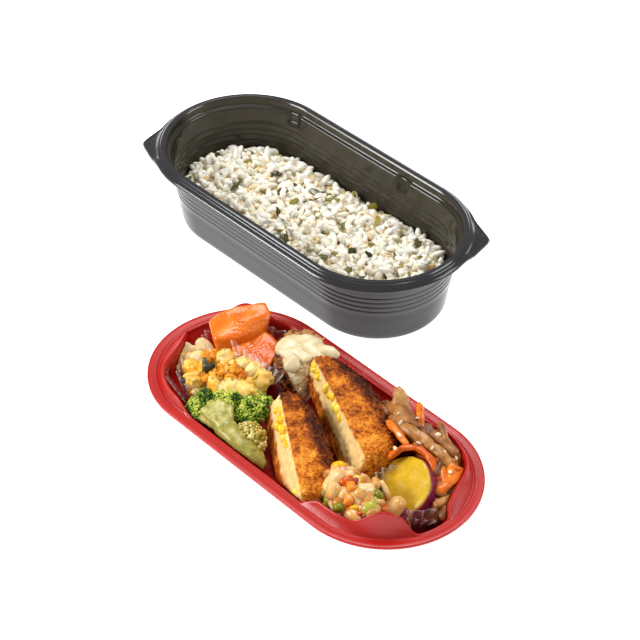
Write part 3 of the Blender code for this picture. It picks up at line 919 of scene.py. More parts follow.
def cut_body(corners, sharp=16, rings=44, sides=72):
    """Rounded hull: radius = (sum of (n.d / h) ^ sharp) ^ (-1 / sharp) over its planes."""
    middle, normals, reach = hull_planes(np.asarray(corners, float))
    way = rays(rings, sides)
    share = np.clip(way @ (normals / reach[:, None]).T, 0, None)
    radius = (share ** sharp).sum(axis=-1) ** (-1 / sharp)
    return middle + way * radius[..., None]


print("a cube's hull has", len(hull_planes(CUBE)[2]), "planes")


# %% Rods and discs
def rod(path, wide, thick, sides=10, square=0.7, roll=0.0, blunt=0.12):
    """A section carried along a path: x = wide / 2 * |cos|^square, y = thick / 2 * |sin|^square.

    blunt is the share of the path, at each end, over which the section draws in.
    """
    path = np.asarray(path, float)
    ahead = np.gradient(path, axis=0)
    ahead /= np.linalg.norm(ahead, axis=1)[:, None]
    side = np.cross([0.0, 0.0, 1.0], ahead)
    side /= np.linalg.norm(side, axis=1)[:, None]
    up = np.cross(ahead, side)
    run = np.linspace(0.0, 1.0, len(path))
    near_end = np.clip(np.minimum(run, 1 - run) / blunt, 0, 1)
    taper = np.sqrt(1 - 0.75 * (1 - near_end) ** 2)[:, None, None]
    angle = (np.arange(sides) + 0.5) * 2 * math.pi / sides
    c = np.sign(np.cos(angle)) * np.abs(np.cos(angle)) ** square * wide / 2
    s = np.sign(np.sin(angle)) * np.abs(np.sin(angle)) ** square * thick / 2
    cr, sr = math.cos(roll), math.sin(roll)
    across, high = c * cr - s * sr, c * sr + s * cr
    return path[:, None] + taper * (across[:, None] * side[:, None] + high[:, None] * up[:, None])


def facing_axes(facing):
    """Two directions across a face and its unit normal, as rows."""
    normal = np.array(facing, float) / np.linalg.norm(facing)
    across = np.cross(normal, [0.3, 1.0, 0.2])
    across /= np.linalg.norm(across)
    return np.stack([across, np.cross(normal, across), normal])


def disc(centre, semi, thick, facing, sharp=8, rings=30, sides=64):
    """A rounded cylinder; returns its grid and each point's share of the way out to its edge."""
    way = rays(rings, sides)
    wide = np.hypot(way[..., 0], way[..., 1])
    flat = min(semi) / (thick / 2)
    radius = (wide ** sharp + (np.abs(way[..., 2]) * flat) ** sharp) ** (-1 / sharp)
    local = way * radius[..., None] * [semi[0], semi[1], min(semi)]
    return np.asarray(centre) + local @ facing_axes(facing), wide * radius


print("a rod of 3 rings has", rod([(0, 0, 0), (9, 0, 0), (18, 0, 0)], 4, 3).size // 3, "points")


# %% Food served in the tray
def settled(points):
    """Food kept off the tray: above its floor, inside its wall and inside its petals."""
    x, y, z = points.T
    centre = np.clip(x, -TRAY_HALF, TRAY_HALF)
    crest_in, crest_up = petal_crest((centre, np.arctan2(y, x - centre)))
    inset = np.maximum(np.interp(z, [0, 3.8, 7.6, 12, 18], [22.0, 19.8, 16.2, 13.8, 9.0]),
                       np.where(z < crest_up + 0.5, crest_in + 2.5, 0.0))
    pull = np.minimum(1.0, (TRAY_RADIUS - inset) / np.maximum(np.hypot(x - centre, y), 1.0))
    return np.stack([centre + (x - centre) * pull, y * pull, np.maximum(z, 1.2)], axis=-1)


def served(name, points, faces, material, **values):
    """A piece of food: settled in the tray, moved to its place and put in a mesh."""
    return put_in_mesh(name, in_tray(settled(points)), faces, material, values)


def merged(parts):
    """Several skins as one, and the number of the part that each point came from."""
    counts = [len(points) for points, _ in parts]
    starts = np.cumsum([0, *counts])
    faces = [face + start for (_, group), start in zip(parts, starts) for face in group]
    return np.concatenate([points for points, _ in parts]), faces, np.repeat(
        np.arange(len(parts)), counts)


wall = settled(np.array([[0.0, TRAY_RADIUS, 10.0]]))[0, 1]
print("10 mm up, food stays within", round(float(wall), 1), "mm of the tray's middle line")


# %% Domes, and places on them
def laid_out(x, y, z, centre, turn):
    """Points turned about the vertical by an angle and moved to a centre."""
    c, s = math.cos(turn), math.sin(turn)
    return np.stack([centre[0] + c * x - s * y, centre[1] + s * x + c * y, z], axis=-1)


def dome_places(count, centre, semi, turn, low, top, seed):
    """Points spread evenly over a dome: a sunflower spiral, lifted by sqrt(1 - r^2.6)."""
    number = np.arange(count)
    radius, angle = np.sqrt((number + 0.5) / count), number * GOLDEN
    z = low + (top - low) * np.sqrt(np.clip(1 - (0.93 * radius) ** 2.6, 0, 1))
    return laid_out(radius * np.cos(angle) * semi[0], radius * np.sin(angle) * semi[1], z,
                    centre, turn), np.random.default_rng(seed)


def dome(centre, semi, turn, low, top, lumps, seed, rings=26, sides=56):
    """The skin under such a spread: rows from its foot to its middle."""
    radius = np.cos(np.linspace(0.0, math.pi / 2 - 0.04, rings))[:, None]
    angle = np.arange(sides) * 2 * math.pi / sides
    z = low + (top - low) * np.sqrt(np.clip(1 - radius ** 2.6, 0, 1)) + 0 * angle
    points, faces = closed_skin(laid_out(radius * np.cos(angle) * semi[0],
                                         radius * np.sin(angle) * semi[1], z, centre, turn))
    return roughened(points, lumps, 7.0, seed), faces


peak = dome_places(9, (0, 0), (20, 12), 0.0, 4.0, 24.0, 1)[0][:, 2].max()
print("the highest of nine places on a dome 24 mm high:", peak.round(1), "mm")


# %% Scattered pieces
def scatter(name, shape, places, sizes, draw, material, tilt=40, tints=(0.0, 1.0), torn=0.0):
    """Copies of a shape at these places, turned at random, each with a tint of its own.

    tints is a range to draw from, or an array with one tint a copy.
    """
    count = len(places)
    turns = tumbled(draw, count, tilt)
    sizes = np.broadcast_to(sizes, (count, 3)) * draw.normal(1, 0.1, (count, 3)).clip(0.7, 1.3)
    points, faces, number = copies(shape, np.asarray(places, float), turns, sizes)
    points = roughened(points, torn, 3.2, count)
    tint = tints if isinstance(tints, np.ndarray) else draw.uniform(*tints, count)
    return served(name, points, faces, material, tint=tint[number])


CHUNK = closed_skin(cut_body(CUBE * [1.0, 0.85, 0.75], 9, 10, 14))
PEBBLE = seed_shape(9, 12, blunt=1.0)
BEAN = seed_shape(9, 12, blunt=0.85, bend=-0.25)
print("points in a chunk, a pebble and a bean:", *(len(part[0]) for part in (CHUNK, PEBBLE, BEAN)))


# %% [markdown]
# ## Looks of the side dishes
#
# All of them are moist food: not metallic, an IOR near that of water and oil (1.38 to 1.45),
# and a roughness from 0.16 for oily vegetables to 0.65 for dry crumb. Light goes a little way
# into most of them, so they get some subsurface scattering. Their colour is never even, so
# one recipe serves them all: a ramp of tones over noise, pushed up or down by the tint that
# each piece carries, and a fine bump.

# %% A ramp over noise, used by many of the foods
def food(name, stops, size, detail=3.0, bump_size=1.5, bump=0.15, **settings):
    """A moist food: a colour ramp over 1.1 * (noise - 0.5) + tint, with fine surface relief.

    size and bump_size are the sizes of the mottling and of the relief, in mm.
    """
    made, tree, shader = new_material(name, **settings)
    where = add(tree, "ShaderNodeTexCoord").outputs["Object"]
    cloud = add(tree, "ShaderNodeTexNoise", {"Vector": where, "Scale": 1 / (size * MM),
                                             "Detail": detail, "Roughness": 0.6})
    value = add(tree, "ShaderNodeAttribute", attribute_name="tint").outputs["Fac"]
    blend = add(tree, "ShaderNodeMath", {0: cloud.outputs["Fac"], 1: -0.5}, operation="ADD")
    level = add(tree, "ShaderNodeMath", {0: blend.outputs[0], 1: 1.1, 2: value},
                operation="MULTIPLY_ADD")
    ramp = add(tree, "ShaderNodeValToRGB", {"Fac": level.outputs[0]}, stops)
    fine = add(tree, "ShaderNodeTexNoise", {"Vector": where, "Scale": 1 / (bump_size * MM),
                                            "Detail": 3.0})
    relief = add(tree, "ShaderNodeBump", {"Height": fine.outputs["Fac"], "Strength": bump,
                                          "Distance": 0.3 * MM})
    finish_surface(tree, shader, ramp.outputs["Color"], relief.outputs["Normal"])
    print(name, "from", stops[0][1], "to", stops[-1][1])
    return made


def mixed_in(material, attribute, code):
    """Where an attribute is 1 the material takes another colour."""
    tree = material.node_tree
    shader = tree.nodes["Principled BSDF"]
    before = shader.inputs["Base Color"].links[0].from_socket
    where = add(tree, "ShaderNodeAttribute", attribute_name=attribute).outputs["Fac"]
    mixed = add(tree, "ShaderNodeMix", {0: where, 6: before, 7: linear(code)}, data_type="RGBA")
    finish_surface(tree, shader, mixed.outputs[2])


print("helpers for food:", food.__name__, mixed_in.__name__)


# %% [markdown]
# ## Clear cups
#
# Four pleated cups of thin clear film keep the side dishes apart. The real ones are pressed
# flat discs whose wall folds into pleats. A cloth simulation could crumple them, but a wave
# round the wall gives the same pleats at once: radius = (0.86 + 0.14 rise) * (1 + a wave that
# grows with the rise). Film shows mainly where it turns away from the eye, at the folds, so
# each point carries a ridge value that makes it less clear there.

# %% Clear film
# Oriented polystyrene film, 0.12 mm: nearly invisible, with sharp white glints on its folds.
CLEAR_FILM, tree, shader = new_material(
    "clear_film_cup", Base_Color=linear("#f4eeee"), Roughness=0.08, IOR=1.5,
    Specular_IOR_Level=1.0)
where = add(tree, "ShaderNodeTexCoord").outputs["Object"]
wrinkle = add(tree, "ShaderNodeTexNoise", {"Vector": where, "Scale": 1 / (5 * MM), "Detail": 2.0})
relief = add(tree, "ShaderNodeBump", {"Height": wrinkle.outputs["Fac"], "Strength": 0.3,
                                      "Distance": 1.0 * MM})
# The film is whiter on its ridges and its top edge: painted glints.
ridge = add(tree, "ShaderNodeAttribute", attribute_name="ridge").outputs["Fac"]
veil = add(tree, "ShaderNodeMath", {0: ridge, 1: 0.4, 2: 0.05}, operation="MULTIPLY_ADD")
tree.links.new(veil.outputs[0], shader.inputs["Alpha"])
tree.links.new(relief.outputs["Normal"], shader.inputs["Normal"])
FILM = 0.12                    # mm, the film's thickness
print(CLEAR_FILM.name, FILM, "mm thick")


# %% Pleated cups
def film_cup(name, centre, semi, turn, levels, node, flutes=22):
    """An oval cup: pleats are sign(w) * |w| ^ 0.7 of a wave w, deeper towards the top.

    levels are its floor and its edge, in mm up.
    """
    low, top = levels
    rise = np.linspace(0, 1, 14)[:, None]
    angle = np.arange(flutes * 8) * 2 * math.pi / (flutes * 8)
    pleat = np.sin(flutes * angle + 0.5 * np.sin(3 * angle))
    pleat = np.sign(pleat) * np.abs(pleat) ** 0.7
    wide = (0.86 + 0.14 * rise) * (1 + 0.045 * (0.3 + 0.7 * rise) * pleat)
    z = low + (top - low) * rise + 0.8 * rise * np.sin(2 * angle + turn) + 0.5 * rise * pleat
    grid = laid_out(semi[0] * wide * np.cos(angle), semi[1] * wide * np.sin(angle), z, centre,
                    turn)
    # Ridges and the top edge are made less clear: painted glints.
    ridge = np.clip((pleat - 0.82) / 0.15, 0, 1) * (0.25 + 0.75 * rise ** 2)
    ridge = np.maximum(ridge, 0.45 * np.clip((rise - 0.96) / 0.03, 0, 1))
    points, faces = floored_skin(grid, [*centre, low])
    cup = served(name, points, faces, CLEAR_FILM, ridge=np.append(ridge.ravel(), 0.0))
    thin_sheet(cup, FILM)
    return belongs(cup, "clear_film", node)


for cup in (("clear_cup_pumpkin", (-59, -15), (26, 16.5), 25 * DEG, (3, 22.5), "film_cup_pumpkin"),
            ("clear_cup_carrot", (-70, 17), (28, 15.5), 35 * DEG, (3, 23), "film_cup_carrot"),
            ("clear_cup_beans", (58, -24), (25, 13.5), -8 * DEG, (3, 21.5), "film_cup_beans"),
            ("clear_cup_potato", (75, 4), (21, 17), 30 * DEG, (3, 20.5), "film_cup_potato")):
    film_cup(*cup)


# %% Pleats that stand out of a cup
def film_fold(name, start, end, height, lean, pleats):
    """A zigzag between two points, wider at its top. fold is 1 at a ridge, -1 in a valley."""
    along = np.linspace(0, 1, pleats * 4 + 1)
    rise = np.linspace(0, 1, 6)[:, None]
    fold = np.abs(np.mod(along * pleats, 1) * 4 - 2) - 1
    start, end = np.array(start, float), np.array(end, float)
    level = np.array([end[1] - start[1], start[0] - end[0], 0])
    level /= np.linalg.norm(level)
    way = (end - start) / np.linalg.norm(end - start)
    spread = (along - 0.5)[None] * rise * 0.35 * np.linalg.norm(end - start)
    grid = (start + (end - start) * along[:, None])[None] + spread[..., None] * way
    grid = grid + (fold * (0.5 + 0.7 * rise))[..., None] * level
    grid = grid + rise[..., None] * np.array([*lean, height])
    # Ridges are made less clear: painted glints.
    ridge = np.clip((fold - 0.1) / 0.8, 0, 1) * (0.35 + 0.65 * rise)
    piece = served(name, grid.reshape(-1, 3), [grid_faces(*grid.shape[:2], around=False)],
                   CLEAR_FILM, ridge=ridge.ravel())
    thin_sheet(piece, FILM)
    return belongs(piece, "clear_film")


for fold in (("film_fold_carrot", (-61, -1.5, 27), (-34, 4, 22), 11, (1, 1), 8),
             ("film_fold_potato", (83, -12, 10), (95, -3, 11), 10, (5, -3), 4),
             ("film_fold_beans", (47, -37, 15), (56, -34, 12), 5, (-3, -3), 4),
             ("film_fold_pumpkin", (-84, -31, 10), (-62, -36, 10), 10, (-4, -3), 6)):
    film_fold(*fold)


# %% [markdown]
# ## Simmered carrot and burdock
#
# The carrot is cut at odd angles, so each chunk is a hull of its cut corners with worn edges;
# a bevelled box would look machined. Thin oval slices of burdock lean against the tray's end,
# face up and fanned out, with a few more standing on edge beside them.

# %% Carrot and burdock materials
# Carrot simmered in stock until it softens: wet and glossy, glowing orange from inside.
CARROT = food("simmered_carrot", [(0.0, "#cc5a02"), (0.5, "#e67212"), (0.9, "#f08e40")], 6.0,
              Roughness=0.16, IOR=1.42, Subsurface_Weight=0.25, Subsurface_Scale=2 * MM,
              Subsurface_Radius=(1.0, 0.4, 0.1))
# Burdock root, peeled, sliced and simmered in soy stock: a satin straw colour, browner
# towards the rim of each slice.
ROOT = food("burdock_root_simmered", [(0.0, "#b87c34"), (0.35, "#f0c67a"), (0.8, "#ffecb8")],
            5.0, Roughness=0.25, IOR=1.4, Subsurface_Weight=0.1, Subsurface_Scale=1 * MM)


# %% Carrot chunks
def carrot_chunk(name, corners, tone, seed, node):
    """A rounded hull of its corners, wavy over 12 mm and finely grained over 1.8 mm."""
    points, faces = closed_skin(cut_body(corners, 22, 56, 88))
    points = roughened(points, 0.25, 12.0, seed)
    points = roughened(points, 0.1, 1.8, seed + 5)
    tint = tone + 0.15 * noise(points, 12.0, seed + 9)
    return belongs(served(name, points, faces, CARROT, tint=tint), "carrot", node)


carrot_chunk("carrot_chunk_tall", [
    (-93, 4.5, 33), (-91.7, 16.5, 35.5), (-78.5, 37, 37.5), (-70.5, 35, 35.5), (-74.5, 21.5, 36),
    (-67.5, 27, 30), (-70, 8, 30.5), (-79, -4, 31.5), (-88, 5, 12), (-80, 30, 12), (-72, -1, 12),
    (-69, 12, 14), (-72, 30, 14)], 0.55, 31, "carrot_1")
carrot_chunk("carrot_chunk_low", [
    (-75, 5, 26.5), (-77, 17, 28), (-70, 27, 28), (-54, 27, 26), (-46, 13, 25), (-45, 4, 24),
    (-60, -1, 20), (-66, 3, 6), (-50, 6, 6), (-55, 24, 6), (-70, 18, 6)], 0.2, 41, "carrot_2")


# %% Burdock slices
SLICE, LEAN = 2.2, (0.6, -0.56, 0.57)      # mm thick, and the way the slices face
# For each slice: its middle, its half axes and the number of its group.
LAID = [((-92.4, -10.6, 14.3), (9, 5), 1), ((-87.3, -2.3, 14.5), (10, 5.5), 3),
        ((-79.6, -12.6, 15.5), (10, 7), 4), ((-84.4, -14.4, 13.3), (9, 5), 2),
        ((-76.7, -5.8, 15.3), (9, 5.5), 3), ((-90.2, -16.9, 13.0), (8, 4.5), 1),
        ((-70.8, -13.8, 16.3), (9, 6), 4), ((-88.5, -8.6, 13.3), (9, 5), 2)]
ON_EDGE = [[(-104.3, -14.4, 19.0), (-92.2, -22.1, 9.0)],
           [(-103.8, -12.6, 19.0), (-91.1, -20.0, 10.0)],
           [(-100.6, -13.0, 19.0), (-86.5, -20.1, 10.0)]]


def burdock_group(number):
    """The slices of one group as discs; those seen on edge, in group 1, are short rods."""
    parts, tints = [], []
    for centre, semi, group in LAID:
        if group == number:
            grid, out = disc(centre, semi, SLICE, LEAN, sharp=6, rings=24, sides=56)
            parts.append(closed_skin(grid))
            ring = np.append(out.ravel(), [0.0, 0.0])
            tints.append(0.85 - 0.6 * bump(ring, 1.0, 0.1) - 0.15 * bump(ring, 0.7, 0.08))
    for path in ON_EDGE if number == 1 else []:
        start, end = np.array(path)
        parts.append(closed_skin(rod(start + (end - start) * np.linspace(0, 1, 9)[:, None],
                                     SLICE, 6.0, 14, 0.8, blunt=0.3)))
        tints.append(np.full(len(parts[-1][0]), 0.7))
    points, faces, _ = merged(parts)
    points = roughened(points, 0.35, 8.0, 60 + number)
    piece = served(f"burdock_slices_{number}", points, faces, ROOT, tint=np.concatenate(tints))
    return belongs(piece, "root", f"root_slice_{number}")


for number in (1, 2, 3, 4):
    burdock_group(number)

# %% [markdown]
# ## Pumpkin salad
#
# Soft mash with pieces of pumpkin left in it. A sculpted heap would take long; instead a dome
# is covered by small lobes, then by larger creamy ones round its front, some deep orange
# pieces and a few with the dark skin still on.

# %% Pumpkin materials
# Steamed pumpkin mashed with dressing: orange flesh to pale cream, soft and slightly shiny.
PUMPKIN = food("pumpkin_salad_creamy", [(0.0, "#d06e08"), (0.3, "#ec9c14"), (0.55, "#f2be46"),
                                        (0.9, "#f6da92")], 4.0, Roughness=0.3, IOR=1.42,
               Subsurface_Weight=0.2, Subsurface_Scale=1.5 * MM,
               Subsurface_Radius=(1.0, 0.6, 0.2))
# The pumpkin's rind, boiled soft: a dull grey green, nearly black in places.
PUMPKIN_SKIN = food("pumpkin_skin", [(0.2, "#23281c"), (0.6, "#3c4230"), (0.9, "#6d6a3e")], 2.5,
                    Roughness=0.3, IOR=1.42)

# %% Pumpkin salad
CREAMY = [(-64, -7, 27.5), (-55, -4, 27.5), (-47, -2, 26), (-41, -4, 24), (-46, -20, 25),
          (-40, -15, 24.5), (-55, -23, 24.5), (-66, -26, 23), (-75, -21, 22)]
ORANGE = [(-72, -14, 28.5), (-71, -10, 28.5), (-60, -25, 27.5), (-53, -10, 30),
          (-57, -16, 29.5), (-51, -16, 28.5), (-48, -10, 29)]
DARK = [(-62.5, -20.5, 31.0), (-66.5, -20, 30.0), (-67, -31, 24.5)]


def build_pumpkin_salad():
    """A dome, 80 small lobes on its spiral, and the larger pieces on top."""
    centre, semi, turn = (-57, -15), (22, 14), 25 * DEG
    points, faces = dome(centre, semi, turn, 4.0, 28.5, 1.2, 71)
    core = served("pumpkin_mash", points, faces, PUMPKIN, tint=0.4 + 0.2 * noise(points, 9.0, 72))
    belongs(core, "pumpkin_salad", "pumpkin_salad")
    places, draw = dome_places(80, centre, semi, turn, 6.0, 27.0, 73)
    places[:, 2] += draw.uniform(-1.0, 1.0, len(places))
    sizes = draw.uniform(0.6, 1.4, (len(places), 1)) * [3.8, 3.0, 2.4]
    lobe = seed_shape(12, 20, blunt=0.8)
    for laid in (("pumpkin_pieces", lobe, places, sizes, draw, PUMPKIN, 40, (0.15, 0.8), 0.7),
                 ("pumpkin_mash_lobes", lobe, CREAMY, (8.4, 6.0, 4.0), draw, PUMPKIN, 14,
                  (0.5, 0.85), 0.9),
                 ("pumpkin_orange_pieces", CHUNK, ORANGE, (4.4, 3.0, 2.4), draw, PUMPKIN, 20,
                  (0.0, 0.3), 0.7),
                 ("pumpkin_skin_pieces", CHUNK, DARK, (4.2, 3.2, 1.5), draw, PUMPKIN_SKIN, 12,
                  (0.0, 1.0), 0.5)):
        belongs(scatter(*laid), "pumpkin_salad")


build_pumpkin_salad()

# %% [markdown]
# ## Broccoli
#
# A head is a cluster of lobes, and each lobe is covered with buds, spaced by a sunflower
# spiral as the real ones are. Particles could scatter the buds, but a spiral leaves no gaps
# and no doubles. A stalk cut lengthwise shows its pale inside, with a branch to each lobe.

# %% Broccoli materials
# Boiled broccoli's buds: matt and yellowish green on their tips; the dark green between
# them is painted shade.
BUDS = food("broccoli_buds", [(0.0, "#1e3c0a"), (0.3, "#567e18"), (0.6, "#9cb02c"),
                              (0.95, "#ccd260")], 5.0, Roughness=0.42, IOR=1.4)
# Its stalk, cut lengthwise with a knife: wet, pale green and a little see-through.
STALK = food("broccoli_stalk_cut", [(0.1, "#7c7424"), (0.45, "#a39a48"), (0.9, "#c9c27c")], 3.0,
             Roughness=0.28, IOR=1.4, Subsurface_Weight=0.2, Subsurface_Scale=1.5 * MM)
# Buds that grew in the shade: cream to straw, with light passing through them.
PALE_BUDS = food("broccoli_buds_pale", [(0.1, "#a08a30"), (0.5, "#ccb860"), (0.9, "#e4d68e")],
                 3.0, Roughness=0.4, IOR=1.4, Subsurface_Weight=0.2, Subsurface_Scale=1.5 * MM)


# %% Florets
def bud_places(centres, small, bud_size, draw):
    """A spiral of places on every lobe, without those that fall inside another lobe."""
    count = int(4.6 * (small / bud_size) ** 2)
    rank = np.arange(count)
    height = 1 - 1.5 * (rank + 0.5) / count
    wide = np.sqrt(1 - height ** 2)
    spread = np.stack([wide * np.cos(rank * GOLDEN), wide * np.sin(rank * GOLDEN), height],
                      axis=-1)
    places = (centres[:, None] + small * spread[None]).reshape(-1, 3)
    away = np.linalg.norm(places[:, None] - centres[None], axis=-1).min(axis=1)
    places = places[away > 0.97 * small]
    return places + draw.normal(0, 0.3, places.shape)


def floret(name, middles, small, stems, buds, seed, node, bud_size):
    """Round lobes of radius small with buds on them; stems are (path, wide, thick, tint)."""
    draw = np.random.default_rng(seed)
    centres = np.asarray(middles, float)
    cores = [closed_skin(middle + small * 0.93 * rays(12, 18)) for middle in centres]
    points, faces, number = merged(cores)
    # The lobes under the buds take the darkest green: painted shade between the buds.
    belongs(served(f"{name}_lobes", points, faces, buds, tint=0 * number - 0.1), "broccoli", node)

    places = bud_places(centres, small, bud_size, draw)
    turns = turned(*draw.uniform(0, 6.28, (3, len(places))))
    sizes = bud_size * draw.uniform(0.7, 1.3, (len(places), 1)) * np.ones(3)
    points, faces, number = copies(seed_shape(4, 6), places, turns, sizes)
    tint = 0.5 + 0.3 * noise(places, 9.0, seed) + draw.uniform(-0.35, 0.4, len(places))
    belongs(served(f"{name}_buds", points, faces, buds, tint=tint[number]), "broccoli")

    parts = [closed_skin(rod(smooth_path(path, 6), wide, thick, 14, 0.8, blunt=0.25))
             for path, wide, thick, _ in stems]
    points, faces, number = merged(parts)
    points = roughened(points, 0.3, 5.0, seed)
    tint = np.array([stem[3] for stem in stems])[number] + 0.12 * noise(points, 5.0, seed + 1)
    belongs(served(f"{name}_stalk", points, faces, STALK, tint=tint), "broccoli")


print("buds are spaced by a turn of", round(GOLDEN / DEG, 2), "degrees")


# %% Three heads of broccoli
floret("broccoli_large",
       [(-50, -42, 15), (-53, -38, 18), (-53, -31, 20), (-48, -25, 21), (-41, -23, 21.5),
        (-47, -42, 11), (-55, -34, 13), (-52, -26, 15), (-43, -20, 17)], 5.6,
       [([(-36, -37, 16), (-27, -38.5, 17.5), (-18, -40, 17), (-8, -39, 13.5), (2, -38, 9)],
         13, 11, 0.4),
        ([(-40, -36, 20), (-32, -37, 19.5), (-22, -39, 18)], 11.5, 8, 0.55),
        ([(-51, -41, 16), (-42, -41, 18), (-30, -40, 18)], 5.6, 4, 0.5),
        ([(-52, -37, 18.5), (-43, -38, 20), (-32, -39, 19)], 6.4, 4.2, 0.62),
        ([(-52, -31, 20.5), (-43, -34, 21.5), (-32, -38, 19.5)], 6.4, 4.2, 0.6),
        ([(-47, -26, 22), (-41, -31, 22.5), (-31, -37, 20)], 6.0, 4, 0.66),
        ([(-40, -24, 22), (-36, -29, 22), (-28, -36, 19.5)], 5.6, 4, 0.5)],
       BUDS, 81, "broccoli_1", 0.75)
floret("broccoli_small",
       [(-36, -18, 18.5), (-33, -12, 20), (-27, -11, 19.5), (-25, -17, 20), (-30, -18, 22),
        (-26, -22, 17), (-32, -23, 16.5)], 5.4,
       [([(-29, -18, 20), (-28, -20, 12), (-27, -21, 6)], 8, 8, 0.4)], BUDS, 85, "broccoli_2",
       0.85)
floret("broccoli_pale",
       [(-20, -31, 19.5), (-16, -29, 20.5), (-11, -29, 19), (-12, -33, 17.5), (-17, -33, 18.5),
        (-9, -31, 16)], 3.4,
       [([(-13, -31, 17), (-12, -32, 12), (-11, -32, 8)], 7, 7, 0.6)], PALE_BUDS, 89,
       "broccoli_3", 1.15)


# %% [markdown]
# ## Fried pieces
#
# Two cutlets were halved: each shows a pale cut face with corn in it, and crust over the
# rest. Displacing a plain body by a pattern of crumbs would need very fine faces, so the
# skin is pushed about by noise and thousands of tiny loose crumbs stand on it. A fried fillet lies
# behind them under cream sauce: a hull of its corners with the same kind of crust.

# %% Crumb and corn materials
# Bread crumb on the cutlets, fried deep: dry and matt, from burnt brown to orange gold.
# Its darker tones also paint shade in the crust's hollows and on the side away from the cut.
CUTLET = food("crumbed_cutlet", [(0.0, "#3e1604"), (0.3, "#8a3c04"), (0.6, "#d27612"),
                                 (1.0, "#fbb240")], 2.6, bump_size=0.9, bump=0.6,
              Roughness=0.65, IOR=1.4, Specular_IOR_Level=0.3)
# Their potato filling, cut with a knife: a smooth pale cream.
mixed_in(CUTLET, "cut", "#f3ce88")
# Starch and crumb on the fillet, fried lighter: from brown edges to floury cream.
# Its tones also paint light on the raised crust and shade in its hollows.
CRUST = food("fried_bread_crumb", [(0.0, "#3e190a"), (0.3, "#86481c"), (0.6, "#c08a4a"),
                                   (1.0, "#fdecc4")], 3.0, bump_size=0.9, bump=0.5,
             Roughness=0.5, IOR=1.45)
# Sweet corn, boiled: each kernel a smooth glossy yellow, a little see-through.
CORN = food("sweet_corn_kernels", [(0.1, "#eab010"), (0.6, "#f7c81e"), (0.9, "#fadb58")], 4.0,
            Roughness=0.2, IOR=1.42, Subsurface_Weight=0.2, Subsurface_Scale=1.5 * MM)


# %% Crust and crumbs
def crumbed(points, normals, amount, seed):
    """Raise a crust along its normals; gives the points and how high each one stands."""
    rough = 0.4 * noise(points, 4.2, seed) + 0.6 * noise(points, 1.6, seed + 1, 26)
    return points + normals * (amount * rough)[..., None], np.clip(0.5 + 0.4 * rough, 0, 1)


def grid_normals(grid):
    """Outward normals of a closed grid, from the differences along its rows and columns."""
    down = np.gradient(grid, axis=0)
    along = np.roll(grid, -1, axis=1) - np.roll(grid, 1, axis=1)
    normal = np.cross(along, down)
    return normal / np.maximum(np.linalg.norm(normal, axis=-1), 1e-9)[..., None]


def crumbs(name, grid, shade, where, count, material, seed):
    """Small torn crumbs on the grid points that where allows, toned like the crust there."""
    draw = np.random.default_rng(seed)
    spots = grid[where]
    chosen = draw.integers(0, len(spots), count)
    places = spots[chosen] + draw.normal(0, 0.3, (count, 3))
    sizes = draw.uniform(0.25, 0.6, (count, 1)) * draw.uniform(0.6, 1.5, (count, 3))
    tints = shade[where][chosen] + draw.normal(0.03, 0.07, count)
    return belongs(scatter(name, seed_shape(3, 5, blunt=0.7), places, sizes, draw, material,
                           tints=tints), "crumb_crust")


print("points on one crumb:", len(seed_shape(3, 5, blunt=0.7)[0]))


# %% Half an oval cutlet
FACE, OVER, ROWS = 20, 60, 72      # columns on the cut face and over the crust, and rows


def half_cutlet(far, near, lift, length, width, thick, slope, skew):
    """The plain body. x runs along the cut's upper edge and y away from it, both in mm.

    Width at x is width * sin(angle) ^ 0.62, with x = length * ((1 - cos(angle)) / 2) ^ skew.
    The cut face leans back by slope, at its far and near end. Gives the grid, its y and z.
    """
    far, near = np.array(far, float), np.array(near, float)
    along = (near - far) / np.hypot(*(near - far))
    aside = np.array([-along[1], along[0]])
    tilt = (lift[1] - lift[0]) / np.hypot(*(near - far))
    angle = np.linspace(0.02, math.pi - 0.02, ROWS)[:, None]
    x = length * ((1 - np.cos(angle)) / 2) ** skew - 0.04 * length
    reach = width * np.sin(angle) ** 0.62
    body = np.minimum(1, 3.0 * np.sin(angle)) ** 0.5
    face = np.linspace(0, 1, FACE, endpoint=False)
    over = np.linspace(0, math.pi, OVER, endpoint=False)
    y_crust = np.sin(over) ** 0.75
    z_crust = np.sign(np.cos(over)) * np.abs(np.cos(over)) ** 0.8
    half = thick / 2
    slope = slope[0] + (slope[1] - slope[0]) * np.clip(x / length, 0, 1)
    y = np.concatenate([-slope * (1 - face), reach * y_crust
                        - slope * np.clip(-z_crust, 0, 1) * (1 - y_crust)], axis=1)
    z = np.concatenate([-thick + thick * face + 0 * reach, -half + half * z_crust + 0 * reach],
                       axis=1)
    z = -half + (z + half) * body
    x = np.broadcast_to(x, y.shape)
    plan = far + x[..., None] * along + y[..., None] * aside
    grid = np.concatenate([plan, (lift[0] + tilt * x + z)[..., None]], axis=-1)
    return grid[:, ::-1], y[:, ::-1], z[:, ::-1]


print("points on a half cutlet:", ROWS * (FACE + OVER))


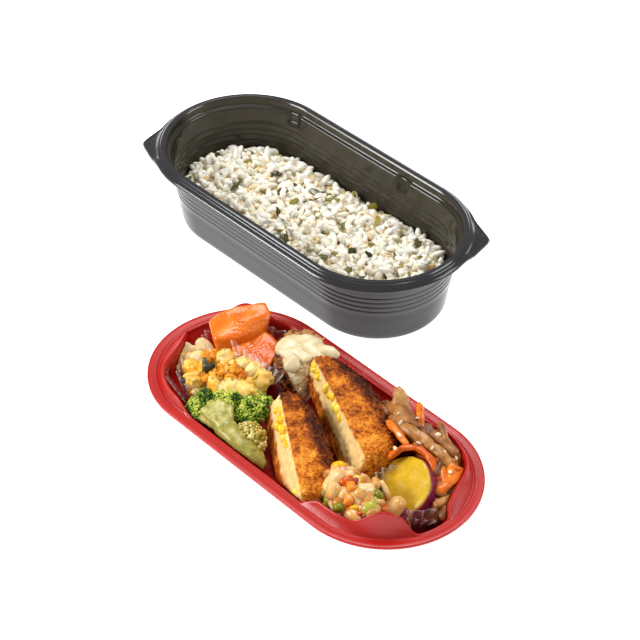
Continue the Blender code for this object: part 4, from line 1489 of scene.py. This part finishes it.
# %% Its crust and its cut face
def cutlet(name, ends, lift, length, width, thick, slope, skew, seed, node):
    """The body with a crust; the cut face is softer, inside a border of crust.

    The tint carries painted light and shade: raised crust is lighter than its hollows, and the
    side away from the cut is darker. It also darkens towards the far end. Gives the cut face's
    part of the grid.
    """
    grid, y, z = half_cutlet(*ends, lift, length, width, thick, slope, skew)
    cut = np.arange(FACE + OVER) >= OVER
    face = np.linspace(0, 1, FACE, endpoint=False)
    share = np.concatenate([face, np.zeros(OVER)])[::-1] + 0.05 * noise(grid, 6.0, seed + 6)
    border = np.linspace(0.38, 0.18, ROWS)[:, None]
    edge = np.clip(np.minimum((share - border) / 0.08, (1 - share) / 0.07), 0, 1)
    angle = np.linspace(0.02, math.pi - 0.02, ROWS)[:, None]
    inner = edge * np.clip(np.sin(angle) / 0.25, 0, 1) * cut
    normals = grid_normals(grid)
    points, high = crumbed(grid, normals, 0.5, seed)
    soft = 0.5 * noise(grid, 4.0, seed + 2) + 0.3 * noise(grid, 1.8, seed + 3)
    soft = grid + normals * soft[..., None]
    grid = points + (soft - points) * inner[..., None]
    skin, faces = closed_skin(grid)
    # The crust is darker towards the cutlet's far end.
    done = np.linspace(-0.34, 0.2, ROWS)[:, None] + 0.12 * noise(grid, 13.0, seed + 4)
    # brown darkens the side away from the cut, as painted shade.
    start = np.linspace(0.22, 0.7, ROWS)[:, None]
    brown = 0.44 * smoothstep((y / width - start) / 0.3)
    # Raised crust is lighter than its hollows: painted light and shade.
    shade = 0.5 + 0.2 * high + done - brown
    piece = served(name, skin, faces, CUTLET, tint=np.append(shade.ravel(), [0.4, 0.4]),
                   cut=np.append(inner.ravel(), [0, 0]))
    belongs(piece, "crumb_crust", node)
    crumbs(f"{name}_crumbs", grid, shade, ~cut & (z > -0.8 * thick), 2200, CUTLET, seed + 5)
    return grid[:, cut]


front_face = cutlet("cutlet_front_half", ((-15.3, -9.3), (40.0, -44.5)), (36, 24), 71, 22, 22,
                    (9, 9), 0.9, 101, "cutlet_front")
back_face = cutlet("cutlet_back_half", ((-23.5, 24.0), (43.0, -1.5)), (38, 28), 79, 26, 22,
                   (4.5, 10), 0.75, 111, "cutlet_back")


# %% Corn in the cut faces
def stud(name, face, spots, size, seed):
    """Corn half sunk in a cut face: spots are shares along the cut and up it."""
    rows, columns = face.shape[:2]
    spots = np.asarray(spots)
    row = (spots[:, 0] * (rows - 1)).astype(int)
    column = ((1 - spots[:, 1]) * (columns - 1)).astype(int)
    sunk = face[row, column] + [0.6, 1.1, 0.0]
    return belongs(scatter(name, PEBBLE, sunk, size, np.random.default_rng(seed), CORN),
                   "crumb_crust")


stud("corn_in_front", front_face, [(0.2, 0.72), (0.23, 0.86), (0.26, 0.68), (0.3, 0.82),
                                   (0.34, 0.7), (0.37, 0.84), (0.41, 0.7), (0.46, 0.78),
                                   (0.3, 0.6), (0.8, 0.7)], (3.8, 3.0, 2.2), 121)
stud("corn_in_back", back_face, [(0.1, 0.84), (0.13, 0.74), (0.16, 0.84), (0.19, 0.72),
                                 (0.3, 0.84), (0.34, 0.74), (0.37, 0.86), (0.41, 0.76),
                                 (0.45, 0.84), (0.49, 0.78)], (4.0, 3.0, 2.2), 122)


# %% The fillet
def build_fillet():
    """A hull with a crust. Its near side is pale where it was cut, beside a dark left edge.

    along is the way along that side, in mm from the edge, and side is 1 on it.
    """
    grid = cut_body([(-57, 33, 32), (-51, 42, 32.5), (-41, 45, 32.5), (-24, 38, 30),
                     (-28, 19, 31), (-36, 14, 31), (-50, 17, 31), (-40, 8, 18), (-24, 13, 16),
                     (-48, 20, 4), (-24, 17, 4), (-48, 38, 4), (-28, 38, 4)], 18, 60, 96)
    grid, high = crumbed(grid, grid_normals(grid), 0.8, 131)
    points, faces = closed_skin(grid)
    x, y, z = points.T
    along = 0.682 * x + 0.731 * y + 20.3 - 0.55 * np.clip(31 - z, 0, 20)
    side = smoothstep((32 - z) / 2) * smoothstep((26 - y) / 4)
    band = bump(along, 0.0, 4.0) * side
    pale = smoothstep((along - 2) / 3) * side
    height = np.append(high.ravel(), [0.5, 0.5]) - 0.5
    # Raised crust is lighter than its hollows: painted light and shade.
    tint = 0.45 + 0.45 * height + 0.1 * noise(points, 9.0, 132) - 0.4 * band + 0.6 * pale
    belongs(served("fried_fillet_piece", points, faces, CRUST, tint=tint), "crumb_crust",
            "fried_fillet")
    shade = tint[:-2].reshape(high.shape)
    crumbs("fillet_crumbs", grid, shade, grid[..., 2] > 14, 900, CRUST, 133)


build_fillet()

# %% [markdown]
# ## Cream sauce
#
# Thick sauce keeps a rounded edge. A fluid simulation would find its own outline; here the
# outline is known, so it is a rounded slab over the fillet, its surface pushed in and out,
# with a run down each end.

# %% Sauce material
# Egg and oil sauce, stirred thick: opaque cream with a soft wet gloss.
SAUCE = food("cream_sauce_thick", [(0.1, "#ccb686"), (0.5, "#d9c79e"), (0.9, "#e4d5b4")], 6.0,
             Roughness=0.26, IOR=1.42, Subsurface_Weight=0.3, Subsurface_Scale=2 * MM,
             Subsurface_Radius=(1.0, 0.8, 0.5))


# %% Cream sauce
def build_sauce():
    """A hull of the outline and the same outline 4.5 mm lower, joined by two short rods."""
    outline = np.array([(-51, 20, 33.5), (-51.5, 27, 34.5), (-44, 35.5, 35.5),
                        (-36.5, 40.5, 34.5), (-20.5, 38, 31), (-29, 20, 33.5),
                        (-35, 16.5, 33.5), (-47.6, 15.5, 32)])
    pool = cut_body(np.concatenate([outline, outline - [0, 0, 4.5]]), 14, 40, 80)
    runs = [([(-38, 20, 33.5), (-33, 15.5, 31.5), (-30.5, 13.5, 27.5)], 9, 4.5),
            ([(-32, 35, 33), (-25, 37.5, 32), (-20, 39, 29.5)], 8, 4.5)]
    parts = [closed_skin(pool)] + [closed_skin(rod(smooth_path(path, 8), wide, thick, 20, 1.0,
                                                   blunt=0.35)) for path, wide, thick in runs]
    points, faces, _ = merged(parts)
    points = roughened(points, 0.4, 9.0, 141)
    points = roughened(points, 0.15, 2.6, 142)
    tint = 0.55 + 0.2 * noise(points, 7.0, 143)
    return belongs(served("cream_sauce_pool", points, faces, SAUCE, tint=tint), "cream_sauce",
                   "cream_sauce")


build_sauce()

# %% [markdown]
# ## Kinpira
#
# Strips of burdock and sticks of carrot, fried and simmered, with sesame. The strips that
# show are laid one by one along their own paths, because their crossing makes the dish look
# tossed; the rest follow the tray's wall with a little scatter, over a body that fills the
# heap's middle.

# %% Kinpira materials
# Burdock cut in strips, fried in sesame oil and soy: brown, fibrous, with a satin shine.
STRIPS = food("kinpira_burdock_strips", [(0.0, "#5e3208"), (0.3, "#905420"), (0.6, "#ac7030"),
                                         (1.0, "#d2a264")], 5.0, bump=0.7,
              Roughness=0.38, IOR=1.44, Subsurface_Weight=0.1, Subsurface_Scale=1 * MM)
# Carrot sticks from the same pan: deeper orange than the simmered chunks, and oily.
STICKS = food("kinpira_carrot_sticks", [(0.1, "#c44a06"), (0.5, "#e27010"), (0.9, "#ee902c")],
              3.0, Roughness=0.2, IOR=1.44, Subsurface_Weight=0.15, Subsurface_Scale=1 * MM,
              Subsurface_Radius=(1.0, 0.35, 0.1))
# Sesame, toasted whole: small cream seeds with a faint gloss.
SESAME = food("sesame_seeds", [(0.1, "#d6b98a"), (0.6, "#ecdab4"), (0.9, "#f6ecd4")], 2.0,
              Roughness=0.35, IOR=1.45)

# %% The heap's middle
SPINE = smooth_path([(12, 38, 12), (30, 38, 14), (52, 37, 16), (70, 33, 15), (84, 24, 13),
                     (90, 12, 11), (93, 0, 9)], 8)
points, faces = closed_skin(rod(SPINE, 17, 17, 24, 0.9))
points = roughened(points, 1.0, 7.0, 151)
belongs(served("kinpira_middle", points, faces, STRIPS, tint=0.1 + 0 * points[:, 0]), "kinpira",
        "kinpira")

# %% Strips and sticks that show
# Each is a path, its width and thickness in mm, and its tint.
LAID_STRIPS = [
    ([(43, 27, 28), (54, 28, 28), (67, 29, 26), (76, 29, 24), (84, 28, 20)], 7, 5.5, 0.6),
    ([(56, 37, 25), (67, 37, 25), (77, 36, 22)], 7, 5, 0.4),
    ([(31, 38, 24), (28, 42, 29), (24, 46, 32)], 9.5, 5, 0.75),
    ([(24, 37, 24), (33, 34, 28), (45, 29, 28)], 8, 5, 0.5),
    ([(30, 41, 25), (38, 37, 27), (49, 33, 26)], 7, 5, 0.3),
    ([(33, 30, 26), (40, 28, 28), (50, 24, 27)], 6.5, 4.5, 0.4),
    ([(82, 31, 21), (90, 24, 19), (95, 13, 16)], 6, 4.5, 0.3)]
LAID_STICKS = [
    ([(50, 36, 22), (44, 41, 27), (39, 46, 31)], 4.6, 4.2, 0.5),
    ([(35, 24, 27.5), (45, 21.5, 29), (56, 19.5, 27)], 4.0, 3.4, 0.6),
    ([(53, 8, 23), (55, 15, 27), (61, 21, 28), (69, 22, 26.5), (78, 18.5, 23.5),
      (86, 15, 19)], 4.2, 3.2, 0.3),
    ([(79, 31, 23.5), (87, 20, 20), (93, 9, 14.5)], 4.8, 4.4, 0.7),
    ([(84, 28, 20), (90, 20, 17), (95, 10, 12)], 4.6, 4, 0.5)]


def tossed_strip(draw):
    """A bowed path near the spine, roughly along it, with its width, thickness and tint."""
    at = draw.integers(3, len(SPINE) - 3)
    ahead = SPINE[min(at + 4, len(SPINE) - 1)] - SPINE[max(at - 4, 0)]
    heading = math.atan2(ahead[1], ahead[0]) + draw.normal(0, 0.45)
    middle = SPINE[at] + [draw.normal(0, 3.4), draw.normal(0, 3.4), draw.uniform(5.5, 10.5)]
    reach = draw.uniform(8, 15) * np.array([math.cos(heading), math.sin(heading),
                                            draw.normal(0, 0.12)])
    bow = [draw.normal(0, 1.5), draw.normal(0, 1.5), draw.uniform(0.5, 2.0)]
    is_strip = draw.uniform() < 0.66
    return is_strip, ([middle - reach, middle + bow, middle + reach], draw.uniform(3.6, 6.0),
                      draw.uniform(3.0, 4.4), draw.uniform(0.05, 0.6))


print("laid by hand:", len(LAID_STRIPS), "strips and", len(LAID_STICKS), "sticks")


# %% Kinpira
SEEDS = [(30, 36, 28.5), (37, 31, 30.5), (46, 37, 29.5), (55, 29, 29.5), (50, 19, 31),
         (53, 13, 27), (68, 26, 29.5), (62, 37, 28), (28, 43, 30), (73, 30, 27), (84, 24, 24),
         (43, 27, 30.5), (60, 24, 29), (79, 34, 24.5), (33, 46, 27), (90, 14, 22)]


def build_kinpira():
    """Rods along the laid paths and along twenty tossed ones, with sesame on top."""
    draw = np.random.default_rng(152)
    strips, sticks = list(LAID_STRIPS), list(LAID_STICKS)
    for _ in range(20):
        is_strip, strip = tossed_strip(draw)
        (strips if is_strip else sticks).append(strip)
    for name, laid, material in (("kinpira_strips", strips, STRIPS),
                                 ("kinpira_carrot", sticks, STICKS)):
        parts = [closed_skin(rod(smooth_path(path, 6), wide, thick, 14, 0.8,
                                 roll=draw.uniform(-0.3, 0.3), blunt=0.05))
                 for path, wide, thick, _ in laid]
        points, faces, number = merged(parts)
        points = roughened(points, 0.4, 7.0, 153)
        tint = np.array([piece[3] for piece in laid])[number] + 0.1 * noise(points, 5.0, 154)
        belongs(served(name, points, faces, material, tint=tint), "kinpira")
    belongs(scatter("sesame", seed_shape(6, 8, blunt=0.8), SEEDS, (1.7, 1.05, 0.6), draw, SESAME,
                    tilt=20), "kinpira")


build_kinpira()

# %% [markdown]
# ## Sweet potato
#
# Two thick slices: yellow flesh on the cut faces and dark red skin round the edge. Each is a
# disc, and the skin attribute is 1 where a point lies in the outermost 3 % of its radius, so
# the skin follows the slice however it is turned.

# %% Sweet potato slices
# Sweet potato, steamed and sliced: a soft satin yellow, a little duller just under the skin.
POTATO = food("sweet_potato_flesh", [(0.0, "#b88e12"), (0.5, "#d0a81e"), (1.0, "#e2c246")], 1.6,
              bump=0.3, Roughness=0.3, IOR=1.42, Subsurface_Weight=0.15,
              Subsurface_Scale=1.5 * MM, Subsurface_Radius=(1.0, 0.7, 0.2))
mixed_in(POTATO, "skin", "#7a1536")


def potato_slice(name, centre, semi, thick, facing, seed, node):
    """A rounded disc with a wavy surface and skin round its edge."""
    grid, out = disc(centre, semi, thick, facing, sharp=14, rings=48, sides=96)
    points, faces = closed_skin(grid)
    ring = np.append(out.ravel(), [0.0, 0.0])
    points = roughened(points, 0.4, 11.0, seed)
    tint = 0.5 + 0.08 * noise(points, 9.0, seed + 2) - 0.2 * bump(ring, 0.9, 0.08)
    piece = served(name, points, faces, POTATO, tint=tint, skin=smoothstep((ring - 0.965) / 0.02))
    return belongs(piece, "sweet_potato", node)


potato_slice("sweet_potato_large", (70.6, 5.4, 12.8), (20.5, 18), 11, (-0.3, -0.56, 0.77), 161,
             "sweet_potato_1")
potato_slice("sweet_potato_small", (82.0, -8.0, 7.0), (9, 7), 6, (0.68, 0.73, 0.1), 165,
             "sweet_potato_2")

# %% [markdown]
# ## Bean salad
#
# White beans, edamame, corn, diced carrot and red onion in a shiny dressing. As with the
# pumpkin, a dome gives the heap and a spiral the places; each place gets one kind of piece,
# dealt out like cards. The pieces that show most are laid one by one.

# %% Bean materials
# White beans, boiled and dressed: smooth skins, cream to tan, with small sharp lights.
BEANS = food("white_beans_dressed", [(0.1, "#c07e34"), (0.5, "#deaa60"), (0.9, "#f0d29c")], 6.0,
             Roughness=0.18, IOR=1.42, Subsurface_Weight=0.2, Subsurface_Scale=1.5 * MM)
# Green soybeans out of the pod, boiled: yellowish green and as glossy as the beans.
EDAMAME = food("edamame_dressed", [(0.1, "#7c7c14"), (0.5, "#96961f"), (0.9, "#b3b03e")], 5.0,
               Roughness=0.18, IOR=1.42)
# Red onion, diced raw: wet cut faces from purple red to pale pink.
ONION = food("red_onion_dice", [(0.1, "#8c3440"), (0.5, "#c0686a"), (0.9, "#e8b4a8")], 2.5,
             Roughness=0.2, IOR=1.42)

# %% Bean salad
HEAP, HEAP_SEMI, HEAP_TURN = (58.5, -23), (24, 13), -8 * DEG
# Given one by one: name, shape, half axes in mm, material and places.
ON_TOP = (
    ("white_beans_top", BEAN, (7.2, 5.0, 4.2), BEANS,
     [(49, -29, 27), (53, -33, 25), (79, -13, 19)]),
    ("edamame_top", BEAN, (5.8, 4.0, 3.4), EDAMAME,
     [(70, -18, 24), (60, -35, 21.5), (73, -21, 21)]),
    ("carrot_dice_top", CHUNK, (3.4, 3.2, 5.0), STICKS,
     [(60, -27, 28), (63, -32, 25), (55, -25, 28)]),
    ("onion_wedge_top", CHUNK, (5.2, 3.6, 2.4), BEANS, [(65, -14, 27), (70, -12, 25)]),
    ("onion_dice_top", CHUNK, (3.6, 2.6, 1.6), ONION,
     [(47, -22, 28), (58, -22, 29), (66, -25, 26), (56, -33, 25.5)]),
    ("corn_top", PEBBLE, (4.0, 3.2, 2.8), CORN, [(42, -19, 27), (56, -19, 27.5)]))


def build_bean_salad():
    """A dome under 110 places in twelve kinds, and the pieces on top."""
    points, faces = dome(HEAP, HEAP_SEMI, HEAP_TURN, 4.0, 24.0, 0.8, 171)
    core = served("bean_salad_middle", points, faces, BEANS, tint=0.1 + 0 * points[:, 0])
    belongs(core, "bean_salad", "bean_salad")
    places, draw = dome_places(110, HEAP, HEAP_SEMI, HEAP_TURN, 6.5, 26.5, 172)
    places[:, 2] += draw.uniform(-1.0, 1.2, len(places))
    kind = draw.permutation(len(places)) % 12
    menu = (("white_beans", BEAN, (6.4, 4.5, 3.9), BEANS, kind < 3),
            ("edamame", BEAN, (5.0, 3.6, 3.0), EDAMAME, kind == 3),
            ("corn_kernels", PEBBLE, (3.4, 3.0, 2.4), CORN, kind == 4),
            ("carrot_dice", CHUNK, (2.8, 2.6, 2.6), STICKS, (kind >= 5) & (kind < 8)),
            ("onion_dice", CHUNK, (3.0, 2.4, 1.4), ONION, (kind >= 8) & (kind < 11)),
            ("pale_wedges", CHUNK, (4.4, 3.0, 2.0), BEANS, kind == 11))
    for name, shape, size, material, chosen in menu:
        belongs(scatter(name, shape, places[chosen], size, draw, material), "bean_salad")
    for name, shape, size, material, spots in ON_TOP:
        belongs(scatter(name, shape, spots, size, draw, material, 25), "bean_salad")


build_bean_salad()


# %% [markdown]
# ## Floor, light and camera
#
# The lunch stands on a plain white table. Soft light comes from a large box overhead, one at
# the left and a weaker one at the right, so that each edge has a bright side and nothing is
# lost in the dark. A long lens looks down on it, as for a menu: it keeps the two containers'
# sides nearly parallel.

# %% Floor
# Opal acrylic lit from below: an even white that hides its own shadows.
TABLE, tree, shader = new_material("opal_acrylic_table", Roughness=0.9, Emission_Strength=0.9,
                                   Emission_Color=linear("#ffffff"))
where = add(tree, "ShaderNodeTexCoord").outputs["Object"]
cloud = add(tree, "ShaderNodeTexNoise", {"Vector": where, "Scale": 60.0, "Detail": 3.0})
tone = add(tree, "ShaderNodeMix", {0: cloud.outputs["Fac"], 6: linear("#fafafa"),
                                   7: linear("#ffffff")}, data_type="RGBA")
finish_surface(tree, shader, tone.outputs[2])
FLOOR_HALF, FLOOR_DROP = 4000.0, 0.3       # mm: half its side, and how far below the lunch
corners = np.array([[-1, -1, 0], [1, -1, 0], [1, 1, 0], [-1, 1, 0]]) * FLOOR_HALF
floor = put_in_mesh("floor", corners - [0, 0, FLOOR_DROP], [np.array([[0, 1, 2, 3]])], TABLE,
                    smooth=False)
print(floor.name, "lies", FLOOR_DROP, "mm below the lunch")

# %% World
world = bpy.data.worlds.new("studio")
bpy.context.scene.world = world
world.use_nodes = True
sky = world.node_tree.nodes["Background"]
sky.inputs["Color"].default_value = linear("#ffffff")
sky.inputs["Strength"].default_value = 0.4
bpy.context.scene.view_settings.view_transform = "Standard"
print("world", world.name, "at", round(sky.inputs["Strength"].default_value, 2))


# %% Soft boxes
def soft_box(name, place, size, watts):
    """A square area light of that size in metres, turned from its place to the lunch."""
    lamp = bpy.data.lights.new(name, "AREA")
    lamp.size, lamp.energy = size, watts
    light = bpy.data.objects.new(name, lamp)
    light.location = place
    light.rotation_euler = (-Vector(place)).to_track_quat("-Z", "Y").to_euler()
    bpy.context.scene.collection.objects.link(light)
    print(name, "light:", watts, "W")


soft_box("overhead", (-0.35, 0.45, 1.4), 0.8, 15)
soft_box("left", (-0.80, -1.14, 0.78), 0.6, 20)
soft_box("right", (1.0, 0.91, 0.85), 0.6, 7)

# %% Camera
AZIMUTH, ELEVATION, DISTANCE = 46.988 * DEG, 40.42 * DEG, 1.233
AIM = np.array([-0.010613, 0.016416, 0.0])     # metres, the point it looks at
camera = bpy.data.objects.new("camera", bpy.data.cameras.new("camera"))
camera.data.lens, camera.data.sensor_width = 115.07, 36.0
camera.data.clip_start, camera.data.clip_end = 0.05, 20.0
back = np.array([math.sin(AZIMUTH) * math.cos(ELEVATION),
                 -math.cos(AZIMUTH) * math.cos(ELEVATION), math.sin(ELEVATION)])
camera.location = AIM + back * DISTANCE
camera.rotation_euler = (math.pi / 2 - ELEVATION, 0.0, AZIMUTH)
bpy.context.scene.collection.objects.link(camera)
bpy.context.scene.camera = camera
print("camera", DISTANCE, "m away")
